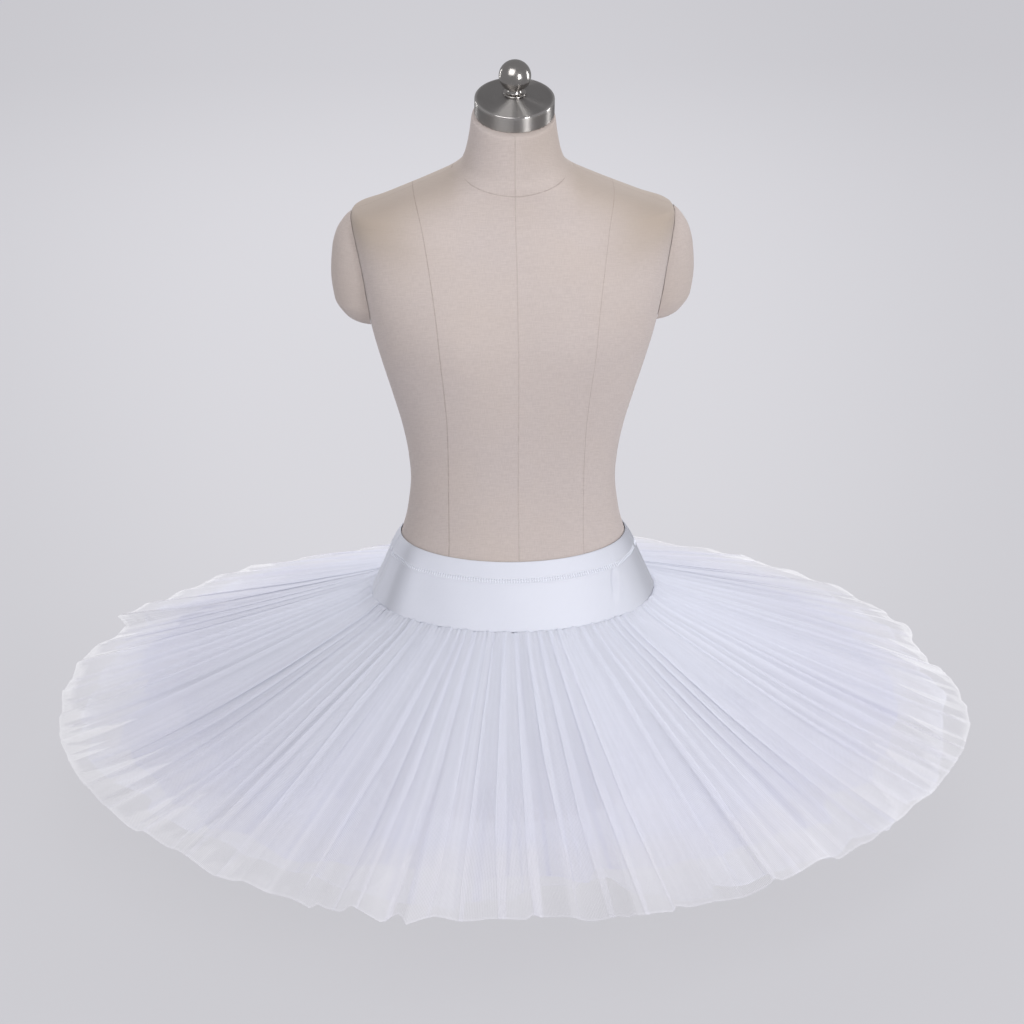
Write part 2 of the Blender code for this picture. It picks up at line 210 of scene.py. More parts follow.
# The sewing's ridges and grooves: share of the relief, place below the top edge and
# half width.
SEWN_RELIEF = 0.00045
SEWN_ROWS = (
    (1.0, STITCH_ROWS[0] - 0.0007, 0.0008),
    (0.8, STITCH_ROWS[1] + 0.0005, 0.0009),
    (-1.0, STITCH_ROWS[0] + 0.0007, 0.0008),
    (-0.5, STITCH_ROWS[1] - 0.0009, 0.0008),
)
SEWN_FLATTER = (0.75, -12.0, 0.36)  # where the ridge is pressed flat: share, direction, half width
STITCH_LENGTH = 0.0021
STITCH_PITCH = 0.0030
STITCH_RADIUS = 0.00044
STITCH_SWELL = (0.25, 0.9, 1.0, 0.9, 0.25)
STITCH_ARCH = (0.55, 0.9)  # height of its middle and how much lower its ends lie, in radii
STITCH_SIDES = 6
STITCH_START = 0.0005  # how far below the upper row a crossing thread starts
# Painted shade of the stitching, darker satin between its rows: strength half way between them, and how far
# from there it is 1 less.
STITCH_SHADE_FADE = (1.6, 0.0017)
STITCH_PATH = 2000  # points of the line that the stitches are spaced along

BAND_TOP_Z = 0.2700
BAND_BOTTOM_Z = 0.1900
BAND_BOTTOM = (0.1694, 0.1304)
BAND_GAP = 0.0006  # how far its fine surface lies inside the solid's
BAND_DIP = (0.0003, 0.0012)  # dip where a tier is sewn on, and half width
BAND_LEVELS = 34
BAND_SIDES = 200
YOKE_INSET = 0.00208

# Net tiers, from the top one down, as on the solids. Then how the net is pleated:
# folds in all, how many times the rim's length its cloth is, and the flat width that
# it was cut to. Then its looks: how uneven the cut edge is, how much closer the
# threads lie along it, the share of the net that isn't hole, how much painted shade
# greys it towards the edge, and the hue away from the head.
TIER_COLUMNS = ("head_z", "length", "fall", "pleats", "fullness", "flat_width",
                "uneven", "edge_cover", "cover", "edge_painted_shade", "warmth")
TIER_ROWS = (
    (0.2477, 0.3980, 22.3, 96, 1.18, 3.84, 1.0, 0.22, 0.30, 0.0, 0.55),
    (0.2407, 0.3650, 22.7, 84, 1.16, 3.54, 1.8, 0.22, 0.30, 0.0, 0.55),
    (0.2337, 0.3120, 23.1, 74, 1.16, 3.20, 1.8, 0.40, 0.42, 0.2, 0.0),
    (0.2267, 0.2350, 23.5, 60, 1.14, 2.60, 1.8, 0.22, 0.30, 0.0, 0.0),
)
TIER_TURN = 1.7  # how far each one's cut edge and wedges are turned from those above
TIER_HEAD_GAP = 0.0006
TIER_DEPTH_GAIN = 1.05  # how much faster it widens to the front and back than to the sides
GATHERS = 48  # broad waves, as on the solids
GATHER_SPREAD = 0.30
GATHER_DEPTH_SPREAD = 0.25
GATHER_AT_HEAD = 0.0006
GATHER_GROWTH = 0.0055
# Where the waves and the folds lie flatter: by how much, direction in degrees and
# half width in radians.
FAR_CALM = (0.65, 92.0, 1.15)
RIGHT_CALM = (0.55, 22.0, 0.30)
SEED = 24

PLEAT_SAMPLES = (8, 5)  # points on a pleat's face and on the fold behind it
PLEAT_FACE = 0.8  # share of a pleat's cloth
PLEAT_LEVELS = 36  # from the head to the rim, without the closer ones
LEVEL_POWER = 0.9  # below 1 they lie a little closer towards the rim
HEAD_LEVELS = (0.0015, 0.0030, 0.0050, 0.0080, 0.0120)  # distances of the closer ones
EDGE_LEVELS = (0.9905, 0.9950, 1.0)  # parts of the fall where the last ones are
PLEAT_SPREAD = 0.38  # how uneven the pleats' widths, their fullness and their heights are
FULLNESS_SPREAD = 0.26
HEIGHT_SPREAD = 0.45
LEAST_FULL = 1.03
PLEAT_HEIGHT = 0.0006
PLEAT_AT_HEAD = 0.35  # share of the height that it has at the head
PLEAT_RISE = 0.35  # part of the fall that it takes to reach the rest
PLEAT_GROWTH = 0.5
FLAT_HEIGHT = 0.25  # share of the height that a pleat with no fold has
FACING_ROOM = 0.45  # share of the overlap left where two folds face each other
PLEAT_OVERLAP = 0.36  # most that a fold may cover of its neighbour
FLAT_OVERLAP = 0.16  # one that covers less than this of its own width lies flatter
PLEAT_STEP = 0.0010  # how far a pleat's cut edge stands out past its neighbour's
STEP_SHARES = (0.25, 1.0)  # the smallest and the largest share of that
STEP_MIDDLE = 0.55
PUFF_HEIGHT = 0.0052  # how far the net springs up just outside the yoke
PUFF_REACH = 0.0050
PUFF_UNEVEN = 0.12
PUFF_WAVES = 211.0  # in a turn
# How the folds turn on their way to the rim: reach, waves in a turn and start.
BEND_ROWS = ((0.020, 3.0, 0.8), (0.012, 8.0, 2.1), (0.006, 19.0, 0.0))
# How far those at both sides bow towards the front: reach, direction and half width.
BOW_ROWS = ((0.24, 195.0, 0.45), (-0.16, -20.0, 0.40))
EDGE_WIDTH = 0.0035  # denser line along a cut edge
WEDGES = 60  # places round a tier where a fold of the net ends sharply
WEDGE_STEP = 1.2  # a row of the cut edge starts one if it is this close, in degrees, to the last
WEDGE_FADE = (4.0 / 15.0, 2.0 / 3.0)  # part of the fall where they start, and how far they rise
WEDGE_COVER = 0.22  # how much closer the threads of the densest lie
# painted light and shade: how much paler the densest wedges are, and darker the thinnest
WEDGE_PAINTED_SHADING = 0.10
CREASE_PAINTED_SHADE = 0.24  # painted shade in the thin creases between the wedges
LINE_DEGREES = 0.40
LINE_PLACES = (0.05, 0.85)  # parts of the fall between which a line's middle lies
LINE_REACH = 0.15
STREAK_ROWS = ((1, 0.45), (3, 0.7), (9, 0.9))  # columns in a streak and its strength
RIM_POINTS = 112  # patches round the rim that end in slanting points
RIM_WAVES = ((0.9, 5.0, 0.0), (0.6, 13.0, 1.0))  # how uneven they are, as in BEND_ROWS
RIM_POWER = 1.6  # above 1 there are fewer deep ones
RIM_START = 0.975  # part of the fall where the shallowest start
RIM_REACH = 0.24  # how much nearer the head the deepest start
RIM_FADE = 0.012
HEAD_COVER = 0.62  # how much closer the gathered threads lie at the head
RIM_COVER = 0.36  # and in the patches of crumpled net at the sides' and back's rim
# painted light that makes those patches paler
RIM_PAINTED_LIGHT = 0.10
SIDE_PAINTED_SHADE = 0.26  # painted shade: how much greyer the net is away from the front
SIDE_PART = (0.15, 0.55)  # part of the fall where this starts, and how far it rises
FRONT_PAINTED_SHADE = 0.35  # painted shade: how much greyer the open net is towards the front rim
FRONT = (-85.0, math.radians(75.0))  # direction and half width
EDGE_PART = (0.6, 0.3)  # the same for the painted shade towards the edge, and for the hue
HUE_PART = (0.0, 0.6)
HUE_AT_HEAD = 0.25
OPEN_PART = (0.74, 0.12)  # where the top tier's net lies single, and how much of it shows
OPEN_SIDES = 0.3  # away from the front
SWELLS = (7.0, 11.0, 17.0)  # broad waves round the ring
SWELL_HEIGHT = 0.012
FOLD_SHADING = 0.05  # share of each fold's own slope in the net's shading
SHADED_RELIEF = 0.30  # and share of the waves
SHADED_STEP = 0.002

# Sheer spots of the top tier: direction in degrees, part of the fall, half
# width in degrees and half reach as a part of the fall.
SHEER_SPOTS = ((245, 0.68, 2, 0.08), (263, 0.62, 1.5, 0.09), (322, 0.42, 2.5, 0.06))
SHEER_DEPTH = 0.18
# and spots near its rim, where doubled net looks creamy
CREAM_SPOTS = ((338, 0.82, 4, 0.05), (327, 0.86, 2.6, 0.05), (317, 0.86, 3.2, 0.05),
               (308, 0.88, 2.2, 0.04), (230, 0.90, 4, 0.06), (221, 0.88, 3, 0.05))

# Cut edge of the top tier: direction round the part in degrees, 0 the wearer's
# left and 270 the front, and how much longer or shorter the net is there, in mm.
# Two rows close together are a step from one wedge of net to the next.
EDGE_COLUMNS = ("turn", "longer")
EDGE_ROWS = (
    (0, -3), (4.5, -4), (5.2, -9), (8, -15), (12.5, -10), (13.2, -15),
    (17, -15), (19.5, -3), (24, 6), (28.5, 12), (29.2, 3), (34, 7),
    (41, 3), (48, 9), (52, 3), (57, 12), (63, 4), (70, 12),
    (78, 5), (90, 0), (98, 8), (104, 3), (112, 10), (113, 0),
    (122, 5), (131, 6), (141, 5), (147, 10), (150, 15), (150.6, 2),
    (153, -4), (158, 0), (162, 7), (167, -1), (173, 1), (180, -3),
    (183, 0), (191, -3), (204, -6), (215.5, -5), (216.2, -9), (223, -8),
    (230, 1), (233, 2), (234, -1.5), (239, -1), (243.5, 7), (244, -1.5),
    (247.5, 5), (248.1, -4), (252.3, 9), (252.9, 0), (254.2, -10), (254.6, 9),
    (258, -2), (266, 0), (268.6, -2), (269.4, -9), (270.4, -4), (275, 2),
    (280.5, 2), (281.2, -2), (285.6, 4), (286.2, -4), (291.5, 3), (298.5, -2),
    (299.3, -9), (300, -2), (303, -8), (308.5, -11), (309.2, -4), (315, -6),
    (325.5, -10), (328.5, -6), (338, -5), (347, 2), (357.5, 5), (358.3, -3),
)

# Height of the rim over its cone: direction in degrees, and how much higher in mm.
HEIGHT_COLUMNS = ("turn", "higher")
HEIGHT_ROWS = (
    (0, 0), (5, 0), (9, -7), (12, -11), (16, -6), (20, 1), (28, -2), (34, 0),
    (52, 0), (60, -3), (66, -4), (74, 0), (95, -3), (104, -12), (106.5, -13),
    (108.5, -11), (110.4, -17), (112.5, -13), (114.5, -9), (118.8, -10), (121, -6),
    (125.5, -2), (130, 0), (140, 0), (148, 9), (150, 11), (150.6, -2), (153, 0),
)

# -------------------------------------------------------------------- colours

LINEN = (0.545, 0.479, 0.453)
LINEN_DARK = (0.490, 0.426, 0.404)
LINEN_BLOTCH = (0.58, 0.485, 0.41)
LINEN_WARM_SHADE = (0.412, 0.342, 0.284)
# Warmer linen with painted shade along the shoulders' crest, darker where the cover
# faces up: strength, half width of the stripe, how far below the crest it ends, where
# it starts and how far it fades in.
CREST_WARMTH_AND_SHADE = 0.76
CREST_WIDTH = 0.026
CREST_DEPTH = 0.060
CREST_START = 0.040
CREST_FADE = 0.030
WARMEST = 0.95
# and in two patches of warmth and painted shade, on each shoulder and on the front of the neck
PATCH_COLUMNS = ("strength", "x", "half_width", "z", "half_height")
SHOULDER_PATCH = (0.52, 0.142, 0.040, 0.690, 0.026)
NECK_PATCH = (0.40, 0.035, 0.035, 0.800, 0.035)
CAP_WARMTH = 0.22
SEAM_HALF_WIDTH = 0.0010
WELT_HALF_WIDTH = 0.0060
SEAM_SHADE = (0.27, 0.21, 0.18)
STEEL = (0.492, 0.472, 0.458)
POLISHED = (0.500, 0.476, 0.457)
BEVEL_HIGHLIGHT_TONE = 1.5  # how much brighter the cap's polished bevel is painted, a painted highlight
POLISH_ROUGHNESS = 0.30  # and how smooth
SATIN = (0.680, 0.694, 0.772)
SATIN_BLOTCH = (0.65, 0.67, 0.74)
STITCH_SHADE_TONE = 0.86  # of the satin between the stitching's crossing threads, a painted shade
BLACK = (0.0, 0.0, 0.0)
COTTON = (0.78, 0.79, 0.85)
NET = (0.885, 0.905, 1.000)
NET_WARM = (0.930, 0.925, 0.935)  # where the top tier's net is single, at its rim
# colour of the net's painted shade
NET_SHADED = (0.560, 0.548, 0.670)
NET_STREAK = 0.05
NET_HOLES = 0.06
NET_PITCH = 0.0014
NET_TRANSLUCENCE = 0.32
THREAD = (0.90, 0.92, 1.0)

# -------------------------------------------------------------- camera, light

CAMERA_TARGET = Vector((-0.00114, 0.00006, 0.343))
CAMERA_DISTANCE = 4.236
CAMERA_PITCH = math.radians(23.45)
CAMERA_TURN = math.radians(-3.0)
CAMERA_LENS = 130.0

LIGHT_TARGET = Vector((0.0, 0.0, 0.45))
# name, direction from the target, distance, width, height, radiance
LIGHT_ROWS = (
    ("softbox_left", (-0.36, -0.60, 0.72), 2.6, 1.60, 1.60, 2.55),
    ("softbox_right", (0.50, -0.87, 0.24), 2.8, 0.45, 1.20, 16.2),
    ("strip_right", (0.97, 0.22, 0.10), 2.6, 0.35, 1.40, 7.5),
    ("strip_left", (-0.72, 0.69, 0.10), 2.6, 0.16, 1.30, 6.0),
    ("overhead", (0.10, 0.10, 1.0), 6.0, 4.0, 4.0, 2.82),
    ("backlight", (0.0, 0.92, 0.34), 2.6, 1.80, 0.70, 9.0),
    ("front_fill", (0.10, -1.0, -0.02), 5.0, 2.33, 0.80, 6.2),
    ("rim_left", (-0.88, 0.47, 0.10), 2.6, 0.60, 1.40, 2.5),
    ("rim_right", (0.92, 0.38, 0.10), 2.6, 0.60, 1.40, 1.2),
)
# not seen in the steel, and only seen in it
DIFFUSE_ONLY = ("overhead", "backlight", "front_fill", "rim_left", "rim_right")
GLOSSY_ONLY = ("strip_left",)
SKY_COLOUR = (0.97, 0.99, 1.085)
WORLD_COLOUR = (0.30, 0.30, 0.31)
FLOOR_GLOW = 0.625
FLOOR_EDGE = 0.555
FLOOR_DIFFUSE = (0.06, 0.06, 0.062)
FLOOR_COLOUR = (0.985, 0.975, 1.03)
# The glow: a soft oval round a point behind the part, that widens away from the camera.
GLOW_FROM = 3.88  # how far in front of the part its sides meet
GLOW_MIDDLE = 1.1
GLOW_NARROW = 5.7
GLOW_SHORT = 2.25
GLOW_SKEW = -0.35
GLOW_FADE = (0.30, 1.05)
FLOOR_REACH = 60.0
FLOOR_BELOW = 0.0005  # how far it lies below the part's base


# ------------------------------------------------------------------- helpers


def table(columns, rows):
    """The rows' values by column, 0 where a row stops before its column."""
    full = np.array([row + (0.0,) * (len(columns) - len(row)) for row in rows], float)
    return dict(zip(columns, full.T))


def eased(at, where, values):
    """Cubic through the table's points that never overshoots them."""
    gaps = np.diff(where)
    rises = np.diff(values) / gaps
    slopes = np.zeros(len(where))
    for i in range(1, len(where) - 1):
        if rises[i - 1] * rises[i] > 0.0:
            slopes[i] = 2.0 / (1.0 / rises[i - 1] + 1.0 / rises[i])
    slopes[0] = rises[0]
    slopes[-1] = rises[-1]
    i = np.clip(np.searchsorted(where, at) - 1, 0, len(gaps) - 1)
    t = (at - where[i]) / gaps[i]
    start = (1 + 2 * t) * (1 - t) ** 2 * values[i] + t * (1 - t) ** 2 * gaps[i] * slopes[i]
    end = t * t * (3 - 2 * t) * values[i + 1] + t * t * (t - 1) * gaps[i] * slopes[i + 1]
    return start + end


def bell(distance, width):
    return np.exp(-((distance / width) ** 2))


def rising(value, start, reach):
    """0 up to start, then rising evenly to 1 over this reach."""
    return np.clip((value - start) / reach, 0.0, 1.0)


def waves(angle, rows):
    """Waves round the part: height, how many in a turn and where each starts."""
    return sum(height * np.sin(count * angle + start) for height, count, start in rows)


def turned_from(angle, degrees):
    """Angle from this direction, between half a turn back and half a turn ahead."""
    return np.mod(angle - math.radians(degrees) + math.pi, 2.0 * math.pi) - math.pi


def towards(angle, degrees, width):
    """1 in this direction, falling to 0 away from it; width is in radians."""
    return bell(turned_from(angle, degrees), width)


def between(z, low_z, high_z, low, high):
    """Half width and half depth on the straight line between two levels."""
    t = (z - low_z) / (high_z - low_z)
    return tuple(a + (b - a) * t for a, b in zip(low, high))


def shrunk(sizes, by):
    return tuple(size - by for size in sizes)


def signed_power(value, power):
    return np.sign(value) * np.abs(value) ** power


def full_turn(count):
    """This many even angles round a turn."""
    return np.linspace(0.0, 2.0 * math.pi, count, endpoint=False)


def on_ellipse(half_width, half_depth, angle, z):
    """Points in these directions, at one height or at a height each."""
    x, y = half_width * np.cos(angle), half_depth * np.sin(angle)
    return np.stack([x, y, z + np.zeros_like(x)], axis=-1)


def closed_up(rows):
    """Each row with its first point again at its end."""
    return np.concatenate([rows, rows[:, :1]], axis=1)


def grid_quads(rows, columns, closed):
    """Corner indices of the quads of a grid of points, row by row."""
    last = columns if closed else columns - 1
    row, column = np.meshgrid(np.arange(rows - 1), np.arange(last), indexing="ij")
    following = (column + 1) % columns
    here, above = row * columns, (row + 1) * columns
    corners = (here + column, here + following, above + following, above + column)
    return np.stack(corners, axis=-1).reshape(-1, 4)


def add_object(name, data):
    made = bpy.data.objects.new(name, data)
    bpy.context.scene.collection.objects.link(made)
    return made


def mesh_object(name, vertices, faces, look):
    mesh = bpy.data.meshes.new(name)
    mesh.from_pydata(np.asarray(vertices).tolist(), [], faces)
    mesh.shade_smooth()
    mesh.materials.append(look)
    return add_object(name, mesh)


def sheet_object(name, points, closed, look, across, along, fans=(), flip=False):
    """Object from a grid of points, rows by columns, with a cloth map in metres.

    across and along are the map's coordinates for each point; a closed grid has one
    more column of them. across may also be a pair, for the two sides of each column of
    quads. fans are (row, point) pairs closed with a flat fan.
    """
    rows, columns = points.shape[:2]
    turned = -1 if flip else 1
    vertices = points.reshape(-1, 3)
    faces = grid_quads(rows, columns, closed)[:, ::turned].tolist()
    for row, middle in fans:
        centre = len(vertices)
        vertices = np.vstack([vertices, np.asarray(middle, float)[None]])
        ring = [row * columns + k for k in range(columns)]
        for k in range(columns):
            side = (ring[k], ring[(k + 1) % columns], centre)
            faces.append(side if (row > 0) != flip else side[::-1])
    made = mesh_object(name, vertices, faces, look)
    near, far = across if isinstance(across, tuple) else (across[:, :-1], across[:, 1:])
    sides = np.stack([near[:-1], far[:-1], far[1:], near[1:]], axis=-1)
    ends = np.stack([along[:-1, :-1], along[:-1, 1:], along[1:, 1:], along[1:, :-1]], axis=-1)
    cloth = np.zeros((len(made.data.loops), 2))
    cloth[: sides.size, 0] = sides.reshape(-1, 4)[:, ::turned].ravel()
    cloth[: sides.size, 1] = ends.reshape(-1, 4)[:, ::turned].ravel()
    layer = made.data.uv_layers.new(name="cloth")
    layer.uv.foreach_set("vector", cloth.astype(np.float32).ravel())
    return made


def vertex_value(piece, name, values):
    """Stores one number for each vertex, for the material to read."""
    stored = piece.data.attributes.new(name, "FLOAT", "POINT")
    full = np.full(len(piece.data.vertices), NO_SEAM, np.float32)
    full[: values.size] = values.ravel()
    stored.data.foreach_set("value", full)


def dress(piece, slot, *nodes):
    """The piece rides on the part and stands for nodes, which are hidden; slot is not used."""
    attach(piece, "root")
    if nodes:
        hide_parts(*nodes)
    return piece


def arc_lengths(points):
    """Length run along the second axis of a grid of points, from 0."""
    steps = np.linalg.norm(np.diff(points, axis=1), axis=-1)
    return np.concatenate([np.zeros((len(points), 1)), np.cumsum(steps, axis=1)], axis=1)


# ----------------------------------------------------------------- materials


class Nodes:
    """Short names for building one material's nodes."""

    def __init__(self, name):
        self.material = bpy.data.materials.new(name)
        self.material.use_nodes = True
        self.tree = self.material.node_tree
        self.tree.nodes.clear()
        self.output = self.tree.nodes.new("ShaderNodeOutputMaterial")

    def put(self, socket, value):
        """Links a socket to the one given, or sets its number or colour."""
        if isinstance(value, bpy.types.NodeSocket):
            self.tree.links.new(value, socket)
        elif value is not None:
            socket.default_value = (*value, 1.0) if socket.type == "RGBA" else value

    def add(self, kind, *values, **settings):
        """A node with these settings, and its first sockets put to these values."""
        made = self.tree.nodes.new("ShaderNode" + kind)
        for key, value in settings.items():
            setattr(made, key, value)
        for socket, value in zip(made.inputs, values):
            self.put(socket, value)
        return made

    def set(self, node, **values):
        """Puts sockets by name."""
        for key, value in values.items():
            self.put(node.inputs[key.replace("_", " ")], value)
        return node

    def maths(self, operation, *values, clamp=False):
        return self.add("Math", *values, operation=operation, use_clamp=clamp).outputs[0]

    def value(self, attribute):
        return self.add("Attribute", attribute_name=attribute).outputs["Fac"]

    def axes(self, vector):
        """X and Y of a vector."""
        return self.add("SeparateXYZ", vector).outputs[:2]

    def cloth(self, across, along):
        """The cloth map, in metres, scaled differently across and along."""
        source = self.add("UVMap", uv_map="cloth").outputs["UV"]
        return self.set(self.add("Mapping"), Vector=source, Scale=(across, along, 1.0)).outputs["Vector"]

    def noise(self, vector, scale=1.0, detail=2.0, roughness=0.5, flat=True):
        node = self.add("TexNoise", noise_dimensions="2D" if flat else "3D")
        return self.set(node, Vector=vector, Scale=scale, Detail=detail, Roughness=roughness).outputs["Fac"]

    def fibres(self, across, along, detail=2.0, roughness=0.5):
        """Noise on the cloth map, this many times a metre each way."""
        return self.noise(self.cloth(across, along), 1.0, detail, roughness)

    def ramp(self, value, low, high, to_low=0.0, to_high=1.0, smooth=False):
        node = self.add("MapRange", value, low, high, to_low, to_high)
        node.interpolation_type = "SMOOTHSTEP" if smooth else "LINEAR"
        return node.outputs["Result"]

    def mix(self, factor, a, b):
        node = self.add("Mix", factor, data_type="RGBA", blend_type="MIX")
        self.put(node.inputs[6], a)
        self.put(node.inputs[7], b)
        return node.outputs[2]

    def bump(self, height, strength, distance, under=None):
        node = self.set(self.add("Bump"), Height=height, Strength=strength, Distance=distance, Normal=under)
        return node.outputs["Normal"]

    def principled(self, **values):
        return self.finish(self.set(self.add("BsdfPrincipled"), **values))

    def finish(self, shader):
        self.put(self.output.inputs["Surface"], shader.outputs[0])
        return self.material


def shaded(colour, share):
    return tuple(part * share for part in colour)


def weave_height(n, pitch):
    """Over-and-under height of a plain weave with this many metres a thread."""
    x, y = n.axes(n.cloth(math.pi / pitch, math.pi / pitch))
    return n.maths("MULTIPLY", n.maths("SINE", x), n.maths("SINE", y))


def seam_line(n, attribute, half_width):
    """1 on the seam, falling to 0 this far from it."""
    return n.ramp(n.maths("ABSOLUTE", n.value(attribute)), 0.0, half_width, 1.0, 0.0, smooth=True)


def linen_material(name, seams=()):
    """Plain-woven beige cover with slubs, warmer patches with painted shade and sewn seams.

    seams are pairs of the attribute that holds the distance and how strongly it shows.
    """
    n = Nodes(name)
    threads = n.maths("ADD", n.fibres(1300.0, 120.0), n.fibres(120.0, 1300.0))
    threads = n.maths("ADD", threads, n.maths("MULTIPLY", n.fibres(45.0, 700.0, detail=1.0), 0.5))
    cloud = n.fibres(9.0, 9.0, detail=4.0, roughness=0.6)
    colour = n.mix(n.ramp(threads, 1.0, 1.5), LINEN_DARK, LINEN)
    colour = n.mix(n.ramp(cloud, 0.35, 0.75, 0.0, 0.18), colour, LINEN_BLOTCH)
    # warmth mixes in a warmer, darker linen: a warmer tone with painted shade along the shoulders and at the
    # neck, an even tone on the caps
    colour = n.mix(n.value("warmth"), colour, LINEN_WARM_SHADE)
    normal = n.bump(threads, 0.22, 0.0005)
    broken = n.ramp(n.fibres(150.0, 150.0), 0.35, 0.6, 0.55, 1.0)
    for attribute, shown in seams:
        line = seam_line(n, attribute, SEAM_HALF_WIDTH)
        colour = n.mix(n.maths("MULTIPLY", n.maths("MULTIPLY", line, shown), broken), colour, SEAM_SHADE)
        welt = seam_line(n, attribute, WELT_HALF_WIDTH)
        normal = n.bump(n.maths("SUBTRACT", welt, n.maths("MULTIPLY", line, 2.0)), 0.3, 0.0005, normal)
    return n.principled(Base_Color=colour, Normal=normal, Roughness=0.86, Sheen_Weight=0.12,
                        Sheen_Roughness=0.5, Specular_IOR_Level=0.25)


def steel_material(name, colour, roughness, brushed):
    """Steel turned on a lathe: fine rings round the axis, and none where polished."""
    n = Nodes(name)
    rings = n.fibres(6.0, 5200.0, detail=4.0, roughness=0.7)
    blotches = n.fibres(70.0, 160.0, detail=3.0)
    polish_and_highlight = n.value("polish_and_highlight")
    tone = n.mix(n.ramp(rings, 0.3, 0.7), shaded(colour, 0.90), shaded(colour, 1.06))
    # painted highlight: the polished bevel is brighter as well as smoother
    tone = n.mix(polish_and_highlight, tone, shaded(colour, BEVEL_HIGHLIGHT_TONE))
    shine = n.maths("ADD", n.ramp(rings, 0.25, 0.75, -0.05 * brushed, 0.05 * brushed),
                    n.ramp(blotches, 0.3, 0.7, roughness - 0.02, roughness + 0.02))
    shine = n.maths("MULTIPLY", shine, n.ramp(polish_and_highlight, 0.0, 1.0, 1.0, POLISH_ROUGHNESS))
    tangent = n.add("Tangent", direction_type="RADIAL", axis="Z").outputs[0] if brushed else None
    return n.principled(Base_Color=tone, Roughness=shine, Metallic=1.0, Tangent=tangent,
                        Anisotropic=0.95 if brushed else 0.0, Anisotropic_Rotation=0.25,
                        Normal=n.bump(rings, 0.10 * brushed + 0.01, 0.00004))


def satin_material():
    """Stretch satin of the yoke: fine cross ribs, a soft shine, and painted shade along the stitching and at
    both ends.
    """
    n = Nodes("yoke_satin_cloth")
    ribs = n.fibres(2600.0, 60.0)
    colour = n.mix(n.ramp(ribs, 0.3, 0.7), shaded(SATIN, 0.975), SATIN)
    colour = n.mix(n.ramp(n.fibres(14.0, 20.0, detail=3.0), 0.4, 0.7, 0.0, 0.25), colour, SATIN_BLOTCH)
    place, _ = n.axes(n.cloth(2.0 * math.pi / STITCH_PITCH, 1.0))
    between = n.ramp(n.maths("COSINE", place), -0.2, 0.8, 1.0, 0.0)
    # painted shade of the stitching: darker satin between its crossing threads
    colour = n.mix(n.maths("MULTIPLY", n.value("sewn"), between), colour, shaded(SATIN, STITCH_SHADE_TONE))
    # painted shade: the satin is darker towards both ends, where it turns from the lights
    colour = n.mix(n.value("painted_end_shade"), colour, BLACK)
    return n.principled(Base_Color=colour, Normal=n.bump(ribs, 0.14, 0.0002), Specular_IOR_Level=1.0,
                        Roughness=n.ramp(ribs, 0.2, 0.8, 0.54, 0.62))


def cotton_material(name, colour):
    """Plain cotton tape."""
    n = Nodes(name)
    tone = n.mix(n.ramp(n.fibres(1500.0, 1500.0), 0.3, 0.7), shaded(colour, 0.92), colour)
    return n.principled(Base_Color=tone, Roughness=0.82, Specular_IOR_Level=0.3,
                        Normal=n.bump(weave_height(n, 0.0008), 0.3, 0.0003))


def thread_material():
    n = Nodes("sewing_thread")
    twist = n.noise(n.add("TexCoord").outputs["Object"], scale=2600.0, flat=False)
    tone = n.mix(n.ramp(twist, 0.3, 0.7), shaded(THREAD, 0.9), THREAD)
    return n.principled(Base_Color=tone, Roughness=0.55, Normal=n.bump(twist, 0.3, 0.0001))


def net_mesh(n, pitch):
    """Open share of a six-sided mesh of threads: waves in three directions."""
    turns = 2.0 * math.pi / pitch
    x, y = n.axes(n.cloth(turns, turns))
    half = n.maths("MULTIPLY", x, 0.5)
    tall = n.maths("MULTIPLY", y, 0.866)
    waves = n.maths("COSINE", x)
    for way in ("ADD", "SUBTRACT"):
        waves = n.maths("ADD", waves, n.maths("COSINE", n.maths(way, half, tall)))
    return waves


def net_material():
    """Stiff sheer net: fine six-sided mesh, streaked along the folds."""
    n = Nodes("tutu_net")
    solid = n.maths("MULTIPLY_ADD", net_mesh(n, NET_PITCH), -NET_HOLES, n.value("dense"), clamp=True)
    # tone mixes in the net's painted shade and light
    colour = n.mix(n.value("tone"), NET_SHADED, n.mix(n.value("warmth"), NET, NET_WARM))
    face, back = n.add("BsdfDiffuse", colour), n.add("BsdfTranslucent", colour)
    cloth = n.add("MixShader", NET_TRANSLUCENCE, face.outputs[0], back.outputs[0])
    return n.finish(n.add("MixShader", solid, n.add("BsdfTransparent").outputs[0], cloth.outputs[0]))


def floor_material():
    """Pale paper: a glow behind the part that fades towards the sides."""
    n = Nodes("studio_floor")
    x, y = n.axes(n.add("TexCoord").outputs["Object"])
    reach = n.maths("ADD", y, GLOW_FROM)
    side = n.maths("MULTIPLY", n.maths("DIVIDE", x, reach), GLOW_NARROW)
    deep = n.maths("DIVIDE", n.maths("SUBTRACT", y, GLOW_MIDDLE), reach)
    shorter = n.maths("MULTIPLY", deep, GLOW_SHORT)
    deep = n.maths("MULTIPLY_ADD", n.maths("ABSOLUTE", deep), GLOW_SKEW, shorter)
    squares = [n.maths("POWER", n.maths("ABSOLUTE", part), 2.0) for part in (side, deep)]
    glow = n.ramp(n.maths("SQRT", n.maths("ADD", *squares)), *GLOW_FADE, FLOOR_GLOW, FLOOR_EDGE, smooth=True)
    light = n.add("Emission", FLOOR_COLOUR, glow)
    return n.finish(n.add("AddShader", light.outputs[0], n.add("BsdfDiffuse", FLOOR_DIFFUSE).outputs[0]))


# --------------------------------------------------------------- dress form


def torso_sizes(z):
    size = table(TORSO_COLUMNS, TORSO_ROWS)
    return [eased(z, size["z"], size[name]) for name in TORSO_COLUMNS[1:]]


